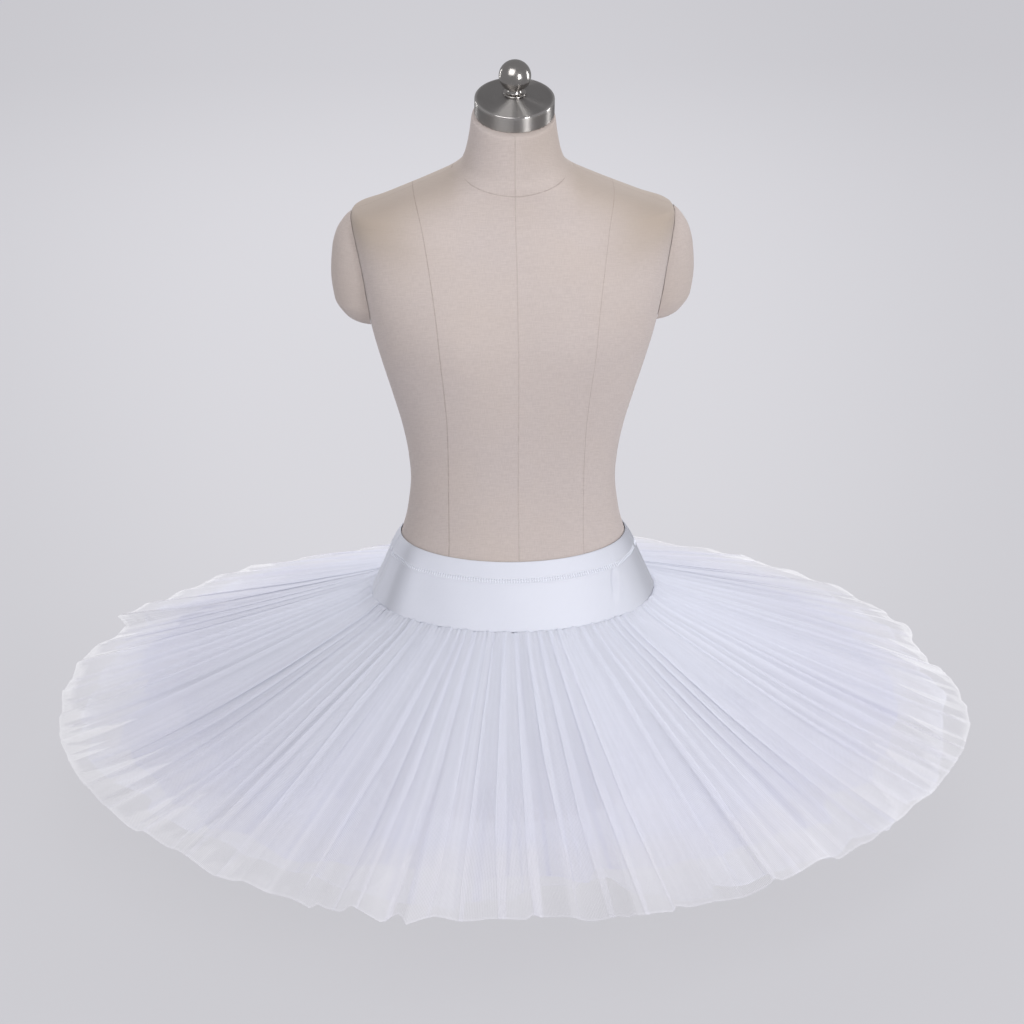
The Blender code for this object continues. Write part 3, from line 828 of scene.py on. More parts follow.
def torso_surface(angle, z):
    """Points of the form at these angles and heights; angle 0 is the +X side."""
    half_width, front, back, square, forward, slope = torso_sizes(z)
    x = half_width * signed_power(np.cos(angle), 2.0 / square)
    depth = np.where(np.sin(angle) > 0.0, back, front)
    y = depth * signed_power(np.sin(angle), 2.0 / square)
    away = ((np.abs(x) - BUST_SIDE) ** 2 + (z - BUST_Z) ** 2) / BUST_SPREAD**2
    bust = BUST_RISE * np.exp(-away) * np.clip(-y / front, 0.0, 1.0)
    y = y - bust
    return np.stack([x, y - forward, z + slope * y], axis=-1)


def torso_side_x(y, z):
    """How far out the form's side is at this depth and height, 0 beyond its depth."""
    half_width, front, back, square, forward, _ = torso_sizes(z)
    y = y + forward
    depth = np.where(y > 0.0, back, front)
    inside = np.clip(1.0 - (np.abs(y) / depth) ** square, 0.0, 1.0)
    return half_width * inside ** (1.0 / square)


def neck_seam_height(x, y):
    """Height of the seam round the neck, lowest in front and highest behind."""
    turn = -y / np.hypot(x, y).clip(1e-6)
    front = np.clip(turn, 0.0, 1.0) ** NECK_SEAM_POWER
    back = np.clip(-turn, 0.0, 1.0) ** 2.0
    front_drop = (NECK_SEAM_SIDE_Z - NECK_SEAM_FRONT_Z) * front
    return NECK_SEAM_SIDE_Z - front_drop + (NECK_SEAM_BACK_Z - NECK_SEAM_SIDE_Z) * back


def warm_shade_patch(x, z, row):
    """Warmth and painted shade near the middle of this row's patch of the cover."""
    patch = dict(zip(PATCH_COLUMNS, row))
    across = bell(x - patch["x"], patch["half_width"])
    return patch["strength"] * across * bell(z - patch["z"], patch["half_height"])


def cover_warmth_and_shade(x, y, z):
    """How warm the form's linen is at these points, and how dark with painted shade."""
    out = np.abs(x)
    size = table(TORSO_COLUMNS, TORSO_ROWS)
    on_crest = (size["z"] > SHOULDER_Z[0]) & (size["z"] < SHOULDER_Z[1])
    crest = np.interp(out, size["half_width"][on_crest][::-1], size["z"][on_crest][::-1])
    stripe = bell(np.minimum(crest - z, CREST_DEPTH), CREST_WIDTH)
    warmth = CREST_WARMTH_AND_SHADE * stripe * rising(out, CREST_START, CREST_FADE)
    warmth = np.minimum(warmth + warm_shade_patch(out, z, SHOULDER_PATCH), WARMEST)
    return warmth + warm_shade_patch(x, z, NECK_PATCH) * (y < 0.0)


def build_torso(look):
    """Cloth cover of the whole form, with each seam's distance stored for its look."""
    rows = table(TORSO_COLUMNS, TORSO_ROWS)["z"]
    levels = np.unique(np.round(np.concatenate([rows, np.linspace(0.0, rows[-1], TORSO_LEVELS)]), 5))
    angle, z = np.meshgrid(full_turn(TORSO_SIDES), levels)
    points = torso_surface(angle, z)
    # the back's cloth is measured from its middle, and the front's from its own
    closed = closed_up(points)
    run = arc_lengths(closed)
    half, quarter = TORSO_SIDES // 2, TORSO_SIDES // 4
    back = run[:, : half + 1] - run[:, quarter : quarter + 1]
    front = run[:, half:] - run[:, half + quarter : half + quarter + 1]
    around = (np.concatenate([back[:, :-1], front[:, :-1]], axis=1),
              np.concatenate([back[:, 1:], front[:, 1:]], axis=1))
    height = closed[..., 2] - GRAIN_LEAN * np.abs(closed[..., 1] - SIDE_SEAM_Y)
    ends = [(0, points[0].mean(axis=0)), (len(levels) - 1, points[-1].mean(axis=0))]
    made = sheet_object("torso_cover", points, True, look, around, height, ends)
    x, y, high = points[..., 0], points[..., 1], points[..., 2]
    middle_x = np.interp(high, MIDDLE_SEAM_Z[::-1], MIDDLE_SEAM[::-1])
    below_neck = high < neck_seam_height(x, y)
    princess = table(PRINCESS_COLUMNS, PRINCESS_ROWS)
    line_x = eased(np.clip(high, *princess["z"][[0, -1]]), princess["z"], princess["x"])
    vertex_value(made, "seam_middle", x - middle_x)
    from_seam = (np.abs(x) - line_x) * np.where(x > 0.0, FAINT_SEAM, 1.0)
    vertex_value(made, "seam_princess", np.where(below_neck, from_seam, NO_SEAM))
    vertex_value(made, "seam_side", y - SIDE_SEAM_Y)
    shown = np.where(y < 0.0, np.clip((NECK_SEAM_REACH - np.abs(x)) / NECK_SEAM_FADE, 0.01, 1.0), 1.0)
    vertex_value(made, "seam_neck", (high - neck_seam_height(x, y)) / shown)
    # a warmer tone and painted shade along the shoulders and at the neck
    vertex_value(made, "warmth", cover_warmth_and_shade(x, y, high))
    return dress(made, "linen", "torso_form")


def build_shoulder_cap(name, node, side, look):
    """Padded cap: the outer part of a stack of rings, from where they leave the form."""
    size = table(CAP_COLUMNS, CAP_ROWS)
    low, high = size["z"][0] - CAP_PAST_ENDS[0], size["z"][-1] + CAP_PAST_ENDS[1]
    # closer levels near both ends, where the cap closes
    turn = np.linspace(0.0, math.pi, CAP_LEVELS)
    levels = 0.5 * (low + high) - 0.5 * (high - low) * np.cos(turn)
    search, count = CAP_OUTLINE
    fine = np.linspace(-search, search, count)
    rows = []
    for z in levels:
        inside = np.clip(z, size["z"][0], size["z"][-1])
        out = float(eased(inside, size["z"], size["reach"])) - CAP_ROOT
        deep = float(eased(inside, size["z"], size["half_depth"]))
        x = CAP_ROOT + out * signed_power(np.cos(fine), 2.0 / CAP_SQUARE)
        y = deep * signed_power(np.sin(fine), 2.0 / CAP_SQUARE) + CAP_BACK_SHIFT
        free = x > torso_side_x(y, np.full_like(y, z)) + CAP_GAP
        if free.sum() < 3:
            continue
        first, last = np.flatnonzero(free)[[0, -1]]
        outline = np.stack([x, y, np.full_like(x, z)], axis=-1)[first : last + 1]
        run = arc_lengths(outline[None])[0]
        even = np.linspace(0.0, run[-1], CAP_SIDES)
        rows.append(np.stack([np.interp(even, run, outline[:, k]) for k in range(3)], axis=-1))
    points = np.array(rows)
    points[..., 0] *= side
    around = arc_lengths(points)
    around -= around[:, -1:] * 0.5
    height = np.repeat(points[:, :1, 2], CAP_SIDES, axis=1)
    made = sheet_object(name, points, False, look, around, height, flip=side < 0)
    vertex_value(made, "warmth", np.full(points.shape[:2], CAP_WARMTH))
    return dress(made, "linen", node)


def turned_object(name, profile, look):
    """Fine surface of revolution about the tilted neck axis."""
    profile = np.array(profile)
    radius = profile[:, :1]
    points = on_ellipse(radius, radius, full_turn(STEEL_SIDES), profile[:, 1:])
    run = arc_lengths(profile[None])[0]
    widths = np.maximum(profile[:, 0], MAP_RADIUS)
    around = np.outer(widths, np.linspace(0.0, 2.0 * math.pi, STEEL_SIDES + 1))
    along = np.repeat(run[:, None], STEEL_SIDES + 1, axis=1)
    made = sheet_object(name, points, True, look, around, along, flip=True)
    made.location = NECK_TOP
    made.rotation_euler = (NECK_TILT, 0.0, 0.0)
    return made


def rounded(corners, radius, steps=5):
    """Profile through corners, each turned on a small arc; ends are kept."""
    corners = [np.array(corner, float) for corner in corners]
    path = [corners[0]]
    for before, corner, after in zip(corners[:-2], corners[1:-1], corners[2:]):
        back, ahead = before - corner, after - corner
        cut = min(radius, 0.45 * np.linalg.norm(back), 0.45 * np.linalg.norm(ahead))
        start = corner + back / np.linalg.norm(back) * cut
        end = corner + ahead / np.linalg.norm(ahead) * cut
        for t in np.linspace(0.0, 1.0, steps):
            path.append((1 - t) ** 2 * start + 2 * t * (1 - t) * corner + t * t * end)
    path.append(corners[-1])
    return path


def spaced(path, step):
    """The same profile with no stretch longer than step."""
    out = [path[0]]
    for start, end in zip(path[:-1], path[1:]):
        count = max(1, math.ceil(np.linalg.norm(end - start) / step))
        out += [start + (end - start) * k / count for k in range(1, count + 1)]
    return out


def build_neck_cap(look):
    """Brushed steel disc with a dished top, a polished bevel and a rim."""
    corners = [
        (AXIS_RADIUS, STEEL_RISE),
        *STEEL_DISH,
        (STEEL_RADIUS - STEEL_BEVEL * 2.0, 0.0),
        (STEEL_RADIUS, -0.0002),
        (STEEL_RADIUS, -STEEL_RIM),
        (AXIS_RADIUS, -STEEL_RIM),
    ]
    profile = spaced(rounded(corners, STEEL_BEVEL), STEEL_STEP)
    made = turned_object("neck_cap_fine", profile, look)
    from_bevel = np.hypot(STEEL_RADIUS - np.array(profile)[:, 0], np.array(profile)[:, 1])
    # the polished bevel: smoother, and with a painted highlight
    vertex_value(made, "polish_and_highlight", np.repeat(bell(from_bevel, POLISHED_WIDTH), STEEL_SIDES))
    return dress(made, "brushed_steel", "neck_cap")


def build_ball_finial(look):
    """Polished ball, its short stem and the rounded collar below it."""
    stem_angle = math.asin(BALL_STEM / BALL_RADIUS)
    profile = []
    for angle in np.linspace(0.0, math.pi - stem_angle, BALL_LEVELS):
        radius = max(BALL_RADIUS * math.sin(angle), 0.5 * AXIS_RADIUS)
        profile.append(np.array((radius, BALL_HEIGHT + BALL_RADIUS * math.cos(angle))))
    foot = STEEL_RISE + COLLAR_GAP
    path = [profile[-1], np.array((BALL_STEM + COLLAR_TOP, foot + 2.0 * COLLAR_BEAD))]
    for angle in np.linspace(0.5 * math.pi, -0.5 * math.pi, COLLAR_LEVELS):
        out, up = COLLAR_BEAD * math.cos(angle), COLLAR_BEAD * (1.0 + math.sin(angle))
        path.append(np.array((COLLAR_RADIUS - COLLAR_BEAD + out, foot + up)))
    path.append(np.array((AXIS_RADIUS, foot)))
    profile += spaced(path, COLLAR_STEP)[1:]
    made = turned_object("ball_finial_fine", profile, look)
    vertex_value(made, "polish_and_highlight", np.zeros(len(profile) * STEEL_SIDES))
    return dress(made, "polished_steel", "ball_finial")


# ------------------------------------------------------------------ garment


def yoke_surface(angle, below, inset):
    """Point of the yoke: below is the height under its top edge, inset how far in."""
    z = YOKE_TOP_Z - below
    half_width, half_depth = between(z, YOKE_BOTTOM_Z, YOKE_TOP_Z, YOKE_BOTTOM, YOKE_TOP)
    drawn = np.clip(1.0 - below / YOKE_DRAWN_REACH, 0.0, 1.0) ** 2
    half_width = half_width - YOKE_DRAWN[0] * drawn - inset
    half_depth = half_depth - YOKE_DRAWN[1] * drawn - inset
    return on_ellipse(half_width, half_depth, angle, z)


def yoke_relief(angle, below):
    """Height of the yoke's soft creases and of its sewing, outwards."""
    lower = rising(below, 0.0, RELIEF_DEPTH)
    corners = sum(height * towards(angle, turn, width) for turn, height, width in CORNER_ROWS)
    slack = waves(angle, [(height, count, below * lean) for height, count, lean in SLACK_ROWS])
    line = turned_from(angle, CREASE_TURN) + CREASE_LEAN * (below - CREASE_BELOW)
    sides = (CREASE_RIDGE, CREASE_GROOVE)
    ridge, groove = (height * bell(line - place, width) for height, place, width in sides)
    crease = (ridge - groove) * bell(below - CREASE_MIDDLE, CREASE_REACH)
    sewing = sum(share * bell(below - place, width) for share, place, width in SEWN_ROWS)
    flatter, turn, width = SEWN_FLATTER
    sewing = SEWN_RELIEF * (1.0 - flatter * towards(angle, turn, width)) * sewing
    return (corners + slack) * lower + crease + sewing


def inside_seams(start, end):
    """The same stretch of the yoke without half of the gap at both side seams."""
    seam = SIDE_SEAM_GAP * 0.5 / YOKE_TOP[1]
    return start + seam, end - seam


def build_yoke(name, node, start, end, look):
    """Half of the yoke with its turned top edge, the sewing's dip and soft creases."""
    turn = np.linspace(*inside_seams(start, end), YOKE_COLUMNS)
    height = YOKE_TOP_Z - YOKE_BOTTOM_Z + YOKE_TUCK
    deep, shallow = YOKE_DEPTHS
    low, middle, high, over, inside = YOKE_LEVELS
    outer = np.concatenate([np.linspace(height, deep, low, endpoint=False),
                            np.linspace(deep, shallow, middle, endpoint=False),
                            np.linspace(shallow, YOKE_EDGE, high)])
    roll = np.linspace(0.0, math.pi, over)[1:]
    below = np.concatenate([outer, YOKE_EDGE - YOKE_EDGE * np.sin(roll),
                            np.linspace(YOKE_EDGE, YOKE_HEM, inside)[1:]])
    inset = np.concatenate([np.zeros(len(outer)), YOKE_EDGE - YOKE_EDGE * np.cos(roll),
                            np.full(inside - 1, 2.0 * YOKE_EDGE)])
    outside = np.concatenate([np.ones(len(outer)), np.linspace(1.0, 0.0, over)[1:],
                              np.zeros(inside - 1)])[:, None]
    angle, down = np.meshgrid(turn, below)
    to_seam = np.minimum(angle - turn[0], turn[-1] - angle) * YOKE_BOTTOM[0]
    rolled, roll_width = YOKE_ROLL
    relief = (yoke_relief(angle, down) - rolled * bell(to_seam, roll_width)) * outside
    points = yoke_surface(angle, down, inset[:, None] - relief)
    ripple, ripples = YOKE_RIPPLE
    points[..., 2] += ripple * np.sin(angle * ripples) * rising(down, *YOKE_RIPPLE_DEPTH)
    along = arc_lengths(points.transpose(1, 0, 2)).T
    made = sheet_object(name, points, False, look, arc_lengths(points), along)
    # painted shade of the stitching, strongest half way between its rows
    strongest, fade = STITCH_SHADE_FADE
    from_stitch_shade = np.abs(down - 0.5 * sum(STITCH_ROWS)) / fade
    vertex_value(made, "sewn", np.clip(strongest - from_stitch_shade, 0.0, 1.0) * outside)
    # painted shade towards both ends of the yoke
    painted_end_shade = sum(share * towards(angle, turn, width) for share, turn, width in SATIN_END_SHADE_ROWS)
    vertex_value(made, "painted_end_shade", painted_end_shade)
    dress(made, "yoke_satin", node)
    return made


def add_stitch(vertices, faces, start, end, out):
    """Adds one short thread from start to end, arched outwards and thinner at its ends."""
    way = end - start
    side = np.cross(out, way)
    side /= np.linalg.norm(side)
    count = STITCH_SIDES
    first = len(vertices)
    high, drop = STITCH_ARCH
    for t, width in zip(np.linspace(-1.0, 1.0, len(STITCH_SWELL)), STITCH_SWELL):
        middle = 0.5 * (start + end) + 0.5 * t * way + out * STITCH_RADIUS * (high - drop * t * t)
        for a in full_turn(count):
            vertices.append(middle + STITCH_RADIUS * width * (out * math.cos(a) + side * math.sin(a)))
    for low in range(first, first + count * (len(STITCH_SWELL) - 1), count):
        for k in range(count):
            ahead = low + (k + 1) % count
            faces.append((low + k, ahead, count + ahead, count + low + k))
    faces.append(tuple(first + k for k in reversed(range(count))))
    faces.append(tuple(len(vertices) - count + k for k in range(count)))


def on_yoke(angle, below):
    """Points on the yoke's creased outer face."""
    below = np.full_like(angle, below)
    return yoke_surface(angle, below, -yoke_relief(angle, below))


def build_stitching(name, start, end, look):
    """Coverstitch that holds the turned edge down: a needle's row, and the thread that
    crosses from it to the lower row."""
    fine = np.linspace(*inside_seams(start, end), STITCH_PATH)
    upper, lower = STITCH_ROWS
    run = arc_lengths(on_yoke(fine, upper)[None])[0]
    places = np.arange(STITCH_PITCH, run[-1] - STITCH_PITCH, STITCH_PITCH)
    half = 0.5 * STITCH_LENGTH
    before, at, after = (np.interp(places + shift, run, fine) for shift in (-half, 0.0, half))
    rows = [on_yoke(before, upper), on_yoke(after, upper)]
    ticks = [on_yoke(at, upper + STITCH_START), on_yoke(at, lower)]
    outs = on_ellipse(1.0 / YOKE_TOP[0], 1.0 / YOKE_TOP[1], at, YOKE_SLANT)
    outs /= np.linalg.norm(outs, axis=1, keepdims=True)
    vertices, faces = [], []
    for ends in (rows, ticks):
        for first, last, out in zip(*ends, outs):
            add_stitch(vertices, faces, first, last, out)
    return dress(mesh_object(name, vertices, faces, look), "yoke_satin")


def band_outer(z):
    """Outer face of the hip band: inside the yoke above, on the hips below."""
    if z >= YOKE_BOTTOM_Z:
        return shrunk(between(z, YOKE_BOTTOM_Z, YOKE_TOP_Z, YOKE_BOTTOM, YOKE_TOP), YOKE_INSET)
    under_yoke = shrunk(YOKE_BOTTOM, YOKE_INSET)
    return between(z, BAND_BOTTOM_Z, YOKE_BOTTOM_Z, BAND_BOTTOM, under_yoke)


def build_hip_band(look):
    """Cotton band under the yoke, dented a little where each tier is sewn to it."""
    levels = np.linspace(BAND_BOTTOM_Z, BAND_TOP_Z, BAND_LEVELS)
    dip, reach = BAND_DIP
    rows = []
    for z in levels:
        sewn = dip * sum(bell(z - row[0], reach) for row in TIER_ROWS)
        half_width, half_depth = shrunk(band_outer(z), BAND_GAP + sewn)
        rows.append(on_ellipse(half_width, half_depth, full_turn(BAND_SIDES), z))
    points = np.array(rows)
    around = arc_lengths(closed_up(points))
    height = np.repeat(levels[:, None], BAND_SIDES + 1, axis=1)
    made = sheet_object("hip_band_cloth", points, True, look, around, height)
    dress(made, "hip_band_cotton", "hip_band")
    return made


def gather_shape(chance):
    """Edges of the gathers, as parts of a turn, and each one's relative height."""
    weights = 1.0 + GATHER_SPREAD * chance.uniform(-1.0, 1.0, GATHERS)
    edges = np.concatenate([[0.0], np.cumsum(weights)]) / weights.sum()
    depths = 1.0 + GATHER_DEPTH_SPREAD * chance.uniform(-1.0, 1.0, GATHERS)
    return edges, depths


def at_gather(angle, edges, values):
    """The gather's place and the value there, eased from one gather to the next."""
    place = np.interp(np.mod(angle, 2.0 * math.pi) / (2.0 * math.pi), edges, np.arange(GATHERS + 1))
    number = np.floor(place).astype(int) % GATHERS
    part = place - np.floor(place)
    blend = values[number] * (1.0 - part) + values[(number + 1) % GATHERS] * part
    return place, blend


def pleat_leans(count, chance):
    """Which way each pleat's fold lies: 1, -1, or 0 for a flat one between runs."""
    leans = []
    way = 1
    while len(leans) < count:
        run = int(chance.integers(3, 8))
        leans += [way] * run + [0]
        way = -way
    leans = np.array(leans[:count])
    leans[-1] = 0
    leans[0] = 1
    return leans


def pleat_profile(face, fold):
    """A pleat's path: place along the cloth, and for a fold lying forwards how far
    it has run, how far back it has come and how high it stands, each from 0 to 1."""
    t = np.concatenate([np.linspace(0.0, PLEAT_FACE, face, endpoint=False),
                        np.linspace(PLEAT_FACE, 1.0, fold, endpoint=False)])
    on_face = t < PLEAT_FACE
    part = np.where(on_face, t / PLEAT_FACE, (t - PLEAT_FACE) / (1.0 - PLEAT_FACE))
    run = np.where(on_face, part, 1.0)
    back = np.where(on_face, 0.0, part)
    lift = 0.5 - 0.5 * np.cos(math.pi * (run - back))
    return t, run, back, lift


def pleat_columns(count, fullness, levels_radius, chance):
    """The pleats' points, level by level: angle, height of the fold, how far its cut
    edge stands out, and place along the flat cloth."""
    widths = 1.0 + PLEAT_SPREAD * chance.uniform(-1.0, 1.0, count)
    widths *= 2.0 * math.pi / widths.sum()
    starts = np.concatenate([[0.0], np.cumsum(widths)[:-1]])
    full = fullness * (1.0 + FULLNESS_SPREAD * chance.uniform(-1.0, 1.0, count))
    full = np.maximum(full, LEAST_FULL)
    leans = pleat_leans(count, chance)
    after, before = np.roll(leans, -1), np.roll(leans, 1)
    room = PLEAT_OVERLAP * np.where(leans > 0, np.roll(widths, -1), np.roll(widths, 1))
    facing = ((leans > 0) & (after == 0)) | ((leans < 0) & (before == 0))
    room = np.where(facing, room * FACING_ROOM, room)
    deep = 0.5 * widths * (full * levels_radius[-1] / levels_radius[:, None] - 1.0)
    deep = (np.clip(deep, 0.0, room) * np.abs(leans))[:, :, None]

    t, run, back, lift = pleat_profile(*PLEAT_SAMPLES)
    # a fold lying the other way is the same path from its far end
    ends = zip((t, run, back, lift), (1.0, 1.0, 1.0, 0.0))
    far_t, far_run, far_back, far_lift = (np.append(path, end)[:0:-1] for path, end in ends)
    width, lean = widths[None, :, None], leans[None, :, None]
    ahead = (width + deep) * run - deep * back
    mirrored = width - ((width + deep) * far_run - deep * far_back)
    ahead = np.where(lean > 0, ahead, np.where(lean < 0, mirrored, width * t))
    flat_lift = FLAT_HEIGHT * (0.5 - 0.5 * np.cos(2.0 * math.pi * t))
    raised = np.clip(deep / (FLAT_OVERLAP * width), 0.0, 1.0)
    fold = np.where(lean > 0, raised * lift, np.where(lean < 0, raised * far_lift, flat_lift))
    share = np.where(leans[:, None] < 0, 1.0 - far_t, t)
    cloth = full * widths
    spot = np.concatenate([[0.0], np.cumsum(cloth)[:-1]])[:, None] + cloth[:, None] * share
    tall = (1.0 + HEIGHT_SPREAD * chance.uniform(-1.0, 1.0, count))[None, :, None]
    edge = chance.uniform(*STEP_SHARES, count)[None, :, None]
    angle = starts[None, :, None] + ahead
    by_level = [values.reshape(len(levels_radius), -1) for values in (angle, fold * tall, fold * edge)]
    return *by_level, spot.reshape(-1) / cloth.sum()


def cut_edge(angle):
    """How much longer the net is at these directions."""
    edge = table(EDGE_COLUMNS, EDGE_ROWS)
    turn = np.mod(np.degrees(angle), 360.0)
    return 0.001 * np.interp(turn, edge["turn"], edge["longer"], period=360.0)


def rim_height(angle):
    """How much higher than its cone the net lies at the rim in these directions."""
    rows = table(HEIGHT_COLUMNS, HEIGHT_ROWS)
    turn = np.mod(np.degrees(angle), 360.0)
    return 0.001 * np.interp(turn, rows["turn"], rows["higher"], period=360.0)


def fold_turn(angle, part):
    """Where a fold from this direction has turned to, this part of the way out."""
    bent = part * (1.0 - 0.5 * part) * waves(angle, BEND_ROWS)
    bowed = sum(reach * towards(angle, turn, width) for reach, turn, width in BOW_ROWS)
    return angle + bent + bowed * part * (1.0 - part)


def calm(angle, row):
    """Share of their height that waves or folds keep in this direction."""
    less, turn, width = row
    return 1.0 - less * towards(angle, turn, width)


def cloth_streaks(count, chance):
    """Uneven closeness of the net across its width, in streaks of a few sizes."""
    streaks = np.zeros(count)
    for step, share in STREAK_ROWS:
        knots = chance.uniform(-1.0, 1.0, count // step + 2)
        streaks += share * np.interp(np.arange(count), np.arange(len(knots)) * step, knots)
    return streaks[None, :]


def fold_wedges(angle, part, chance):
    """Pattern of the folds: denser and thinner wedges that each fade towards one side,
    the thin creases between them, and patches at the rim that end in slanting points."""
    edge = table(EDGE_COLUMNS, EDGE_ROWS)
    steps = edge["turn"][1:][np.diff(edge["turn"]) < WEDGE_STEP]
    more = chance.uniform(0.0, 360.0, WEDGES - len(steps))
    starts = np.sort(np.concatenate([steps, more]))
    turn = np.mod(np.degrees(angle), 360.0)
    number = np.searchsorted(starts, turn, side="right") - 1
    begin = np.where(number < 0, starts[-1] - 360.0, starts[number])
    following = starts[(number + 1) % len(starts)]
    end = np.where(number + 1 < len(starts), following, starts[0] + 360.0)
    place = (turn - begin) / (end - begin)
    strength = chance.uniform(-1.0, 1.0, len(starts))[number]
    leaning = chance.uniform(-1.0, 1.0, len(starts))[number] > 0.0
    slant = np.where(leaning, place, 1.0 - place)
    wedge = strength * slant * rising(part, *WEDGE_FADE)
    reach = chance.uniform(*LINE_PLACES, len(starts))[number]
    line = np.clip(1.0 - (turn - begin) / LINE_DEGREES, 0.0, 1.0) * bell(part - reach, LINE_REACH)
    place = turn / 360.0 * RIM_POINTS + waves(angle, RIM_WAVES)
    deep = chance.uniform(0.01, 1.0, 2 * RIM_POINTS) ** RIM_POWER
    deep = deep[np.floor(place).astype(int) % (2 * RIM_POINTS)]
    patch = rising(part, RIM_START - RIM_REACH * deep * np.mod(place, 1.0), RIM_FADE)
    return wedge, line, patch


def soft_spots(rows, angle, part):
    """1 in the middle of each of these places of the top tier's net, 0 away from them."""
    return sum(towards(angle, place, math.radians(wide)) * bell(part - fall, tall)
               for place, fall, wide, tall in rows)


def soften_folds(piece, normals):
    """Shades the piece by these normals of its unfolded form, mixed with its own."""
    mesh = piece.data
    count = len(mesh.loops)
    corner = np.zeros(count, np.int32)
    mesh.loops.foreach_get("vertex_index", corner)
    form = normals.reshape(-1, 3)
    form = form / np.linalg.norm(form, axis=1, keepdims=True)
    face = np.zeros(len(mesh.polygons) * 3, np.float32)
    mesh.polygons.foreach_get("normal", face)
    face = np.repeat(face.reshape(-1, 3), 4, axis=0)
    form = form[corner]
    side = np.where((form * face).sum(axis=1, keepdims=True) < 0.0, -1.0, 1.0)
    mixed = side * form + FOLD_SHADING * face
    mixed = mixed / np.linalg.norm(mixed, axis=1, keepdims=True)
    mesh.normals_split_custom_set(mixed.tolist())


def net_looks(number, size, angle, part, from_edge, chance):
    """How closely the tier's threads lie, their painted shade and light, and how warm they look, at each
    point.
    """
    at_rim = fold_turn(angle, 1.0)
    front = towards(angle, *FRONT)
    streaks = cloth_streaks(angle.shape[1], chance)
    wedges, painted_creases, patches = fold_wedges(at_rim + TIER_TURN * (number - 1), part, chance)
    patches = patches * (1.0 - front)
    at_edge = size["edge_cover"] * np.clip(1.0 - from_edge / EDGE_WIDTH, 0.0, 1.0)
    dense = size["cover"] + at_edge + HEAD_COVER * (1.0 - part) + RIM_COVER * patches
    dense = dense + WEDGE_COVER * wedges + NET_STREAK * streaks
    # tone: painted shade towards the front rim, away from the front, on the thinner wedges, in the creases
    # and towards some tiers' edges; painted light on the rim patches and denser wedges
    side = (1.0 - front) * rising(part, *SIDE_PART)
    tone = 1.0 - FRONT_PAINTED_SHADE * front * part**1.5 - SIDE_PAINTED_SHADE * side
    tone = tone + (SIDE_PAINTED_SHADE + RIM_PAINTED_LIGHT) * patches + WEDGE_PAINTED_SHADING * wedges - CREASE_PAINTED_SHADE * painted_creases
    tone = tone - size["edge_painted_shade"] * rising(part, *EDGE_PART)
    warmth = size["warmth"] * (HUE_AT_HEAD + (1.0 - HUE_AT_HEAD) * rising(part, *HUE_PART))
    if number == 1:
        dense = dense - SHEER_DEPTH * soft_spots(SHEER_SPOTS, at_rim, part)
        shown = (1.0 - OPEN_SIDES) * front + OPEN_SIDES
        open_rim = rising(part, *OPEN_PART) * shown
        warmth = warmth + open_rim + patches + soft_spots(CREAM_SPOTS, at_rim, part)
    return {"dense": dense, "tone": np.clip(tone, 0.0, 1.0), "warmth": np.clip(warmth, 0.0, 1.0)}


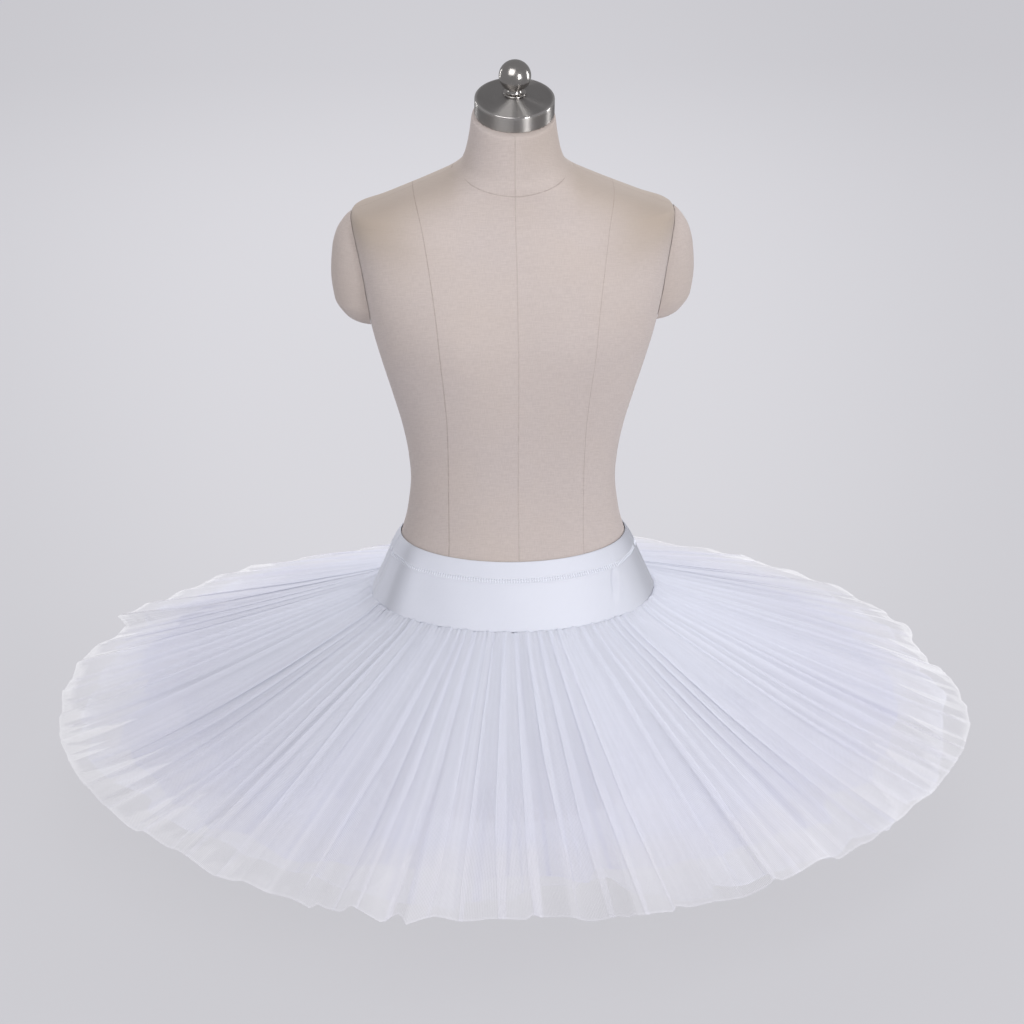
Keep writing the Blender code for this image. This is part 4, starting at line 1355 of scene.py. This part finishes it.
def build_tier(number, size, edges, depths, look):
    """Sheer pleated ring on the form of its solid, with its cut edge uneven."""
    chance = np.random.default_rng(SEED * 100 + number)
    head = shrunk(band_outer(size["head_z"]), -TIER_HEAD_GAP)
    fall = math.radians(size["fall"])
    inner = np.linspace(0.0, 1.0, PLEAT_LEVELS)[:-1] ** LEVEL_POWER
    near = np.array(HEAD_LEVELS) / size["length"]
    part = np.concatenate([inner[:1], near, inner[1:], EDGE_LEVELS])
    radius = 0.5 * sum(head) + part * size["length"] * math.cos(fall)
    angle, fold, step, spot = pleat_columns(size["pleats"], size["fullness"], radius, chance)
    part = part[:, None] + np.zeros_like(angle)
    at_rim = fold_turn(angle, 1.0)
    longer = size["uneven"] * cut_edge(at_rim + TIER_TURN * (number - 1))
    length = size["length"] + longer + PLEAT_STEP * (step - STEP_MIDDLE)
    phases = chance.uniform(0.0, 2.0 * math.pi, 3)
    height = PLEAT_AT_HEAD + (1.0 - PLEAT_AT_HEAD) * rising(part, 0.0, PLEAT_RISE)
    height = PLEAT_HEIGHT * height * (1.0 + PLEAT_GROWTH * part)
    height = height * calm(angle, FAR_CALM) * calm(angle, RIGHT_CALM)

    def net_points(angle, part, folded, relief=1.0):
        along = part * length
        place, depth = at_gather(angle, edges, depths)
        lift = depth * np.cos(2.0 * math.pi * place) * (GATHER_AT_HEAD + GATHER_GROWTH * along)
        spring = along / PUFF_REACH * np.exp(1.0 - along / PUFF_REACH)
        uneven = np.sin(4.0 * math.pi * place) + np.sin(PUFF_WAVES * angle) - 1.0
        puffs = PUFF_HEIGHT * spring * (1.0 + PUFF_UNEVEN * uneven)
        swell = sum(np.sin(k * angle + phase) / k for k, phase in zip(SWELLS, phases))
        lift = relief * (lift * calm(angle, FAR_CALM) + puffs) + SWELL_HEIGHT * swell * part * part
        lift = lift + folded + rim_height(at_rim) * part**3
        out = along * math.cos(fall) + part * lift * math.sin(fall)
        z = size["head_z"] - along * math.sin(fall) + lift * math.cos(fall)
        return on_ellipse(head[0] + out, head[1] + out * TIER_DEPTH_GAIN, fold_turn(angle, part), z)

    along = part * length
    points = net_points(angle, part, height * (2.0 * fold - 1.0))
    flat_width = size["flat_width"]
    across = np.append(spot, 1.0)[None, :] * flat_width + np.zeros((len(points), 1))
    made = sheet_object(f"net_tier_{number}", points, True, look, across, closed_up(along), flip=True)
    # the threads shine as on the unfolded form, with a little of each fold's slope
    ahead, behind, outer, inner = (
        net_points(angle + turned, part + out, 0.0, SHADED_RELIEF)
        for turned, out in ((SHADED_STEP, 0.0), (-SHADED_STEP, 0.0), (0.0, SHADED_STEP), (0.0, -SHADED_STEP))
    )
    soften_folds(made, np.cross(outer - inner, ahead - behind))
    for name, values in net_looks(number, size, angle, part, length - along, chance).items():
        vertex_value(made, name, values)
    dress(made, "net", f"tier_{number}")
    return made


def build_tiers(look):
    edges, depths = gather_shape(np.random.default_rng(SEED))
    for number, row in enumerate(TIER_ROWS, start=1):
        build_tier(number, dict(zip(TIER_COLUMNS, row)), edges, depths, look)


# --------------------------------------------------------------------- studio


def build_floor():
    reach = FLOOR_REACH
    corners = ((-reach, -reach, 0.0), (reach, -reach, 0.0), (reach, reach, 0.0), (-reach, reach, 0.0))
    made = mesh_object("studio_floor", corners, [(0, 1, 2, 3)], floor_material())
    made.location.z = -FLOOR_BELOW
    made.visible_glossy = False  # the steel doesn't mirror it


def build_lights():
    for name, direction, distance, width, height, radiance in LIGHT_ROWS:
        light = bpy.data.lights.new(name, "AREA")
        light.shape = "RECTANGLE"
        light.size = width
        light.size_y = height
        light.energy = radiance * math.pi * width * height
        light.color = SKY_COLOUR if name == "overhead" else (1.0, 1.0, 1.0)
        made = add_object(name, light)
        back = Vector(direction).normalized()
        made.location = LIGHT_TARGET + back * distance
        made.rotation_euler = back.to_track_quat("Z", "Y").to_euler()
        made.visible_camera = False
        made.visible_glossy = name not in DIFFUSE_ONLY
        made.visible_diffuse = name not in GLOSSY_ONLY
        made.visible_transmission = name not in GLOSSY_ONLY
    world = bpy.data.worlds.new("studio")
    world.use_nodes = True
    world.node_tree.nodes["Background"].inputs["Color"].default_value = (*WORLD_COLOUR, 1.0)
    bpy.context.scene.world = world


def build_camera():
    turn, pitch = CAMERA_TURN, CAMERA_PITCH
    back = Vector((math.sin(turn) * math.cos(pitch), -math.cos(turn) * math.cos(pitch), math.sin(pitch)))
    camera = bpy.data.cameras.new("camera")
    camera.lens = CAMERA_LENS
    camera.sensor_width = 36.0
    camera.clip_end = 200.0
    made = add_object("camera", camera)
    made.location = CAMERA_TARGET + back * CAMERA_DISTANCE
    made.rotation_euler = back.to_track_quat("Z", "Y").to_euler()
    bpy.context.scene.camera = made


def main():
    scene = bpy.context.scene
    scene.view_settings.view_transform = "Standard"
    scene.cycles.transparent_max_bounces = 24
    scene.cycles.max_bounces = 4
    scene.cycles.diffuse_bounces = 3
    build_camera()
    build_lights()
    build_floor()

    cover = linen_material("linen_cover", (("seam_middle", 0.30), ("seam_princess", 0.55),
                                           ("seam_side", 0.40), ("seam_neck", 0.50)))
    plain = linen_material("linen_caps")
    build_torso(cover)
    build_shoulder_cap("shoulder_pad_left", "shoulder_cap_left", 1.0, plain)
    build_shoulder_cap("shoulder_pad_right", "shoulder_cap_right", -1.0, plain)
    build_neck_cap(steel_material("brushed_steel_rings", STEEL, 0.50, 1.0))
    build_ball_finial(steel_material("polished_steel_ball", POLISHED, 0.22, 0.0))

    satin = satin_material()
    thread = thread_material()
    left_seam = -SIDE_SEAM_FORWARD
    right_seam = math.pi + SIDE_SEAM_FORWARD
    halves = (("back", left_seam, right_seam), ("front", right_seam, left_seam + 2.0 * math.pi))
    for half, start, end in halves:
        build_yoke(f"yoke_{half}_satin", f"yoke_{half}", start, end, satin)
        build_stitching(f"yoke_{half}_coverstitch", start, end, thread)
    build_hip_band(cotton_material("hip_band_cotton_cloth", COTTON))
    build_tiers(net_material())


main()
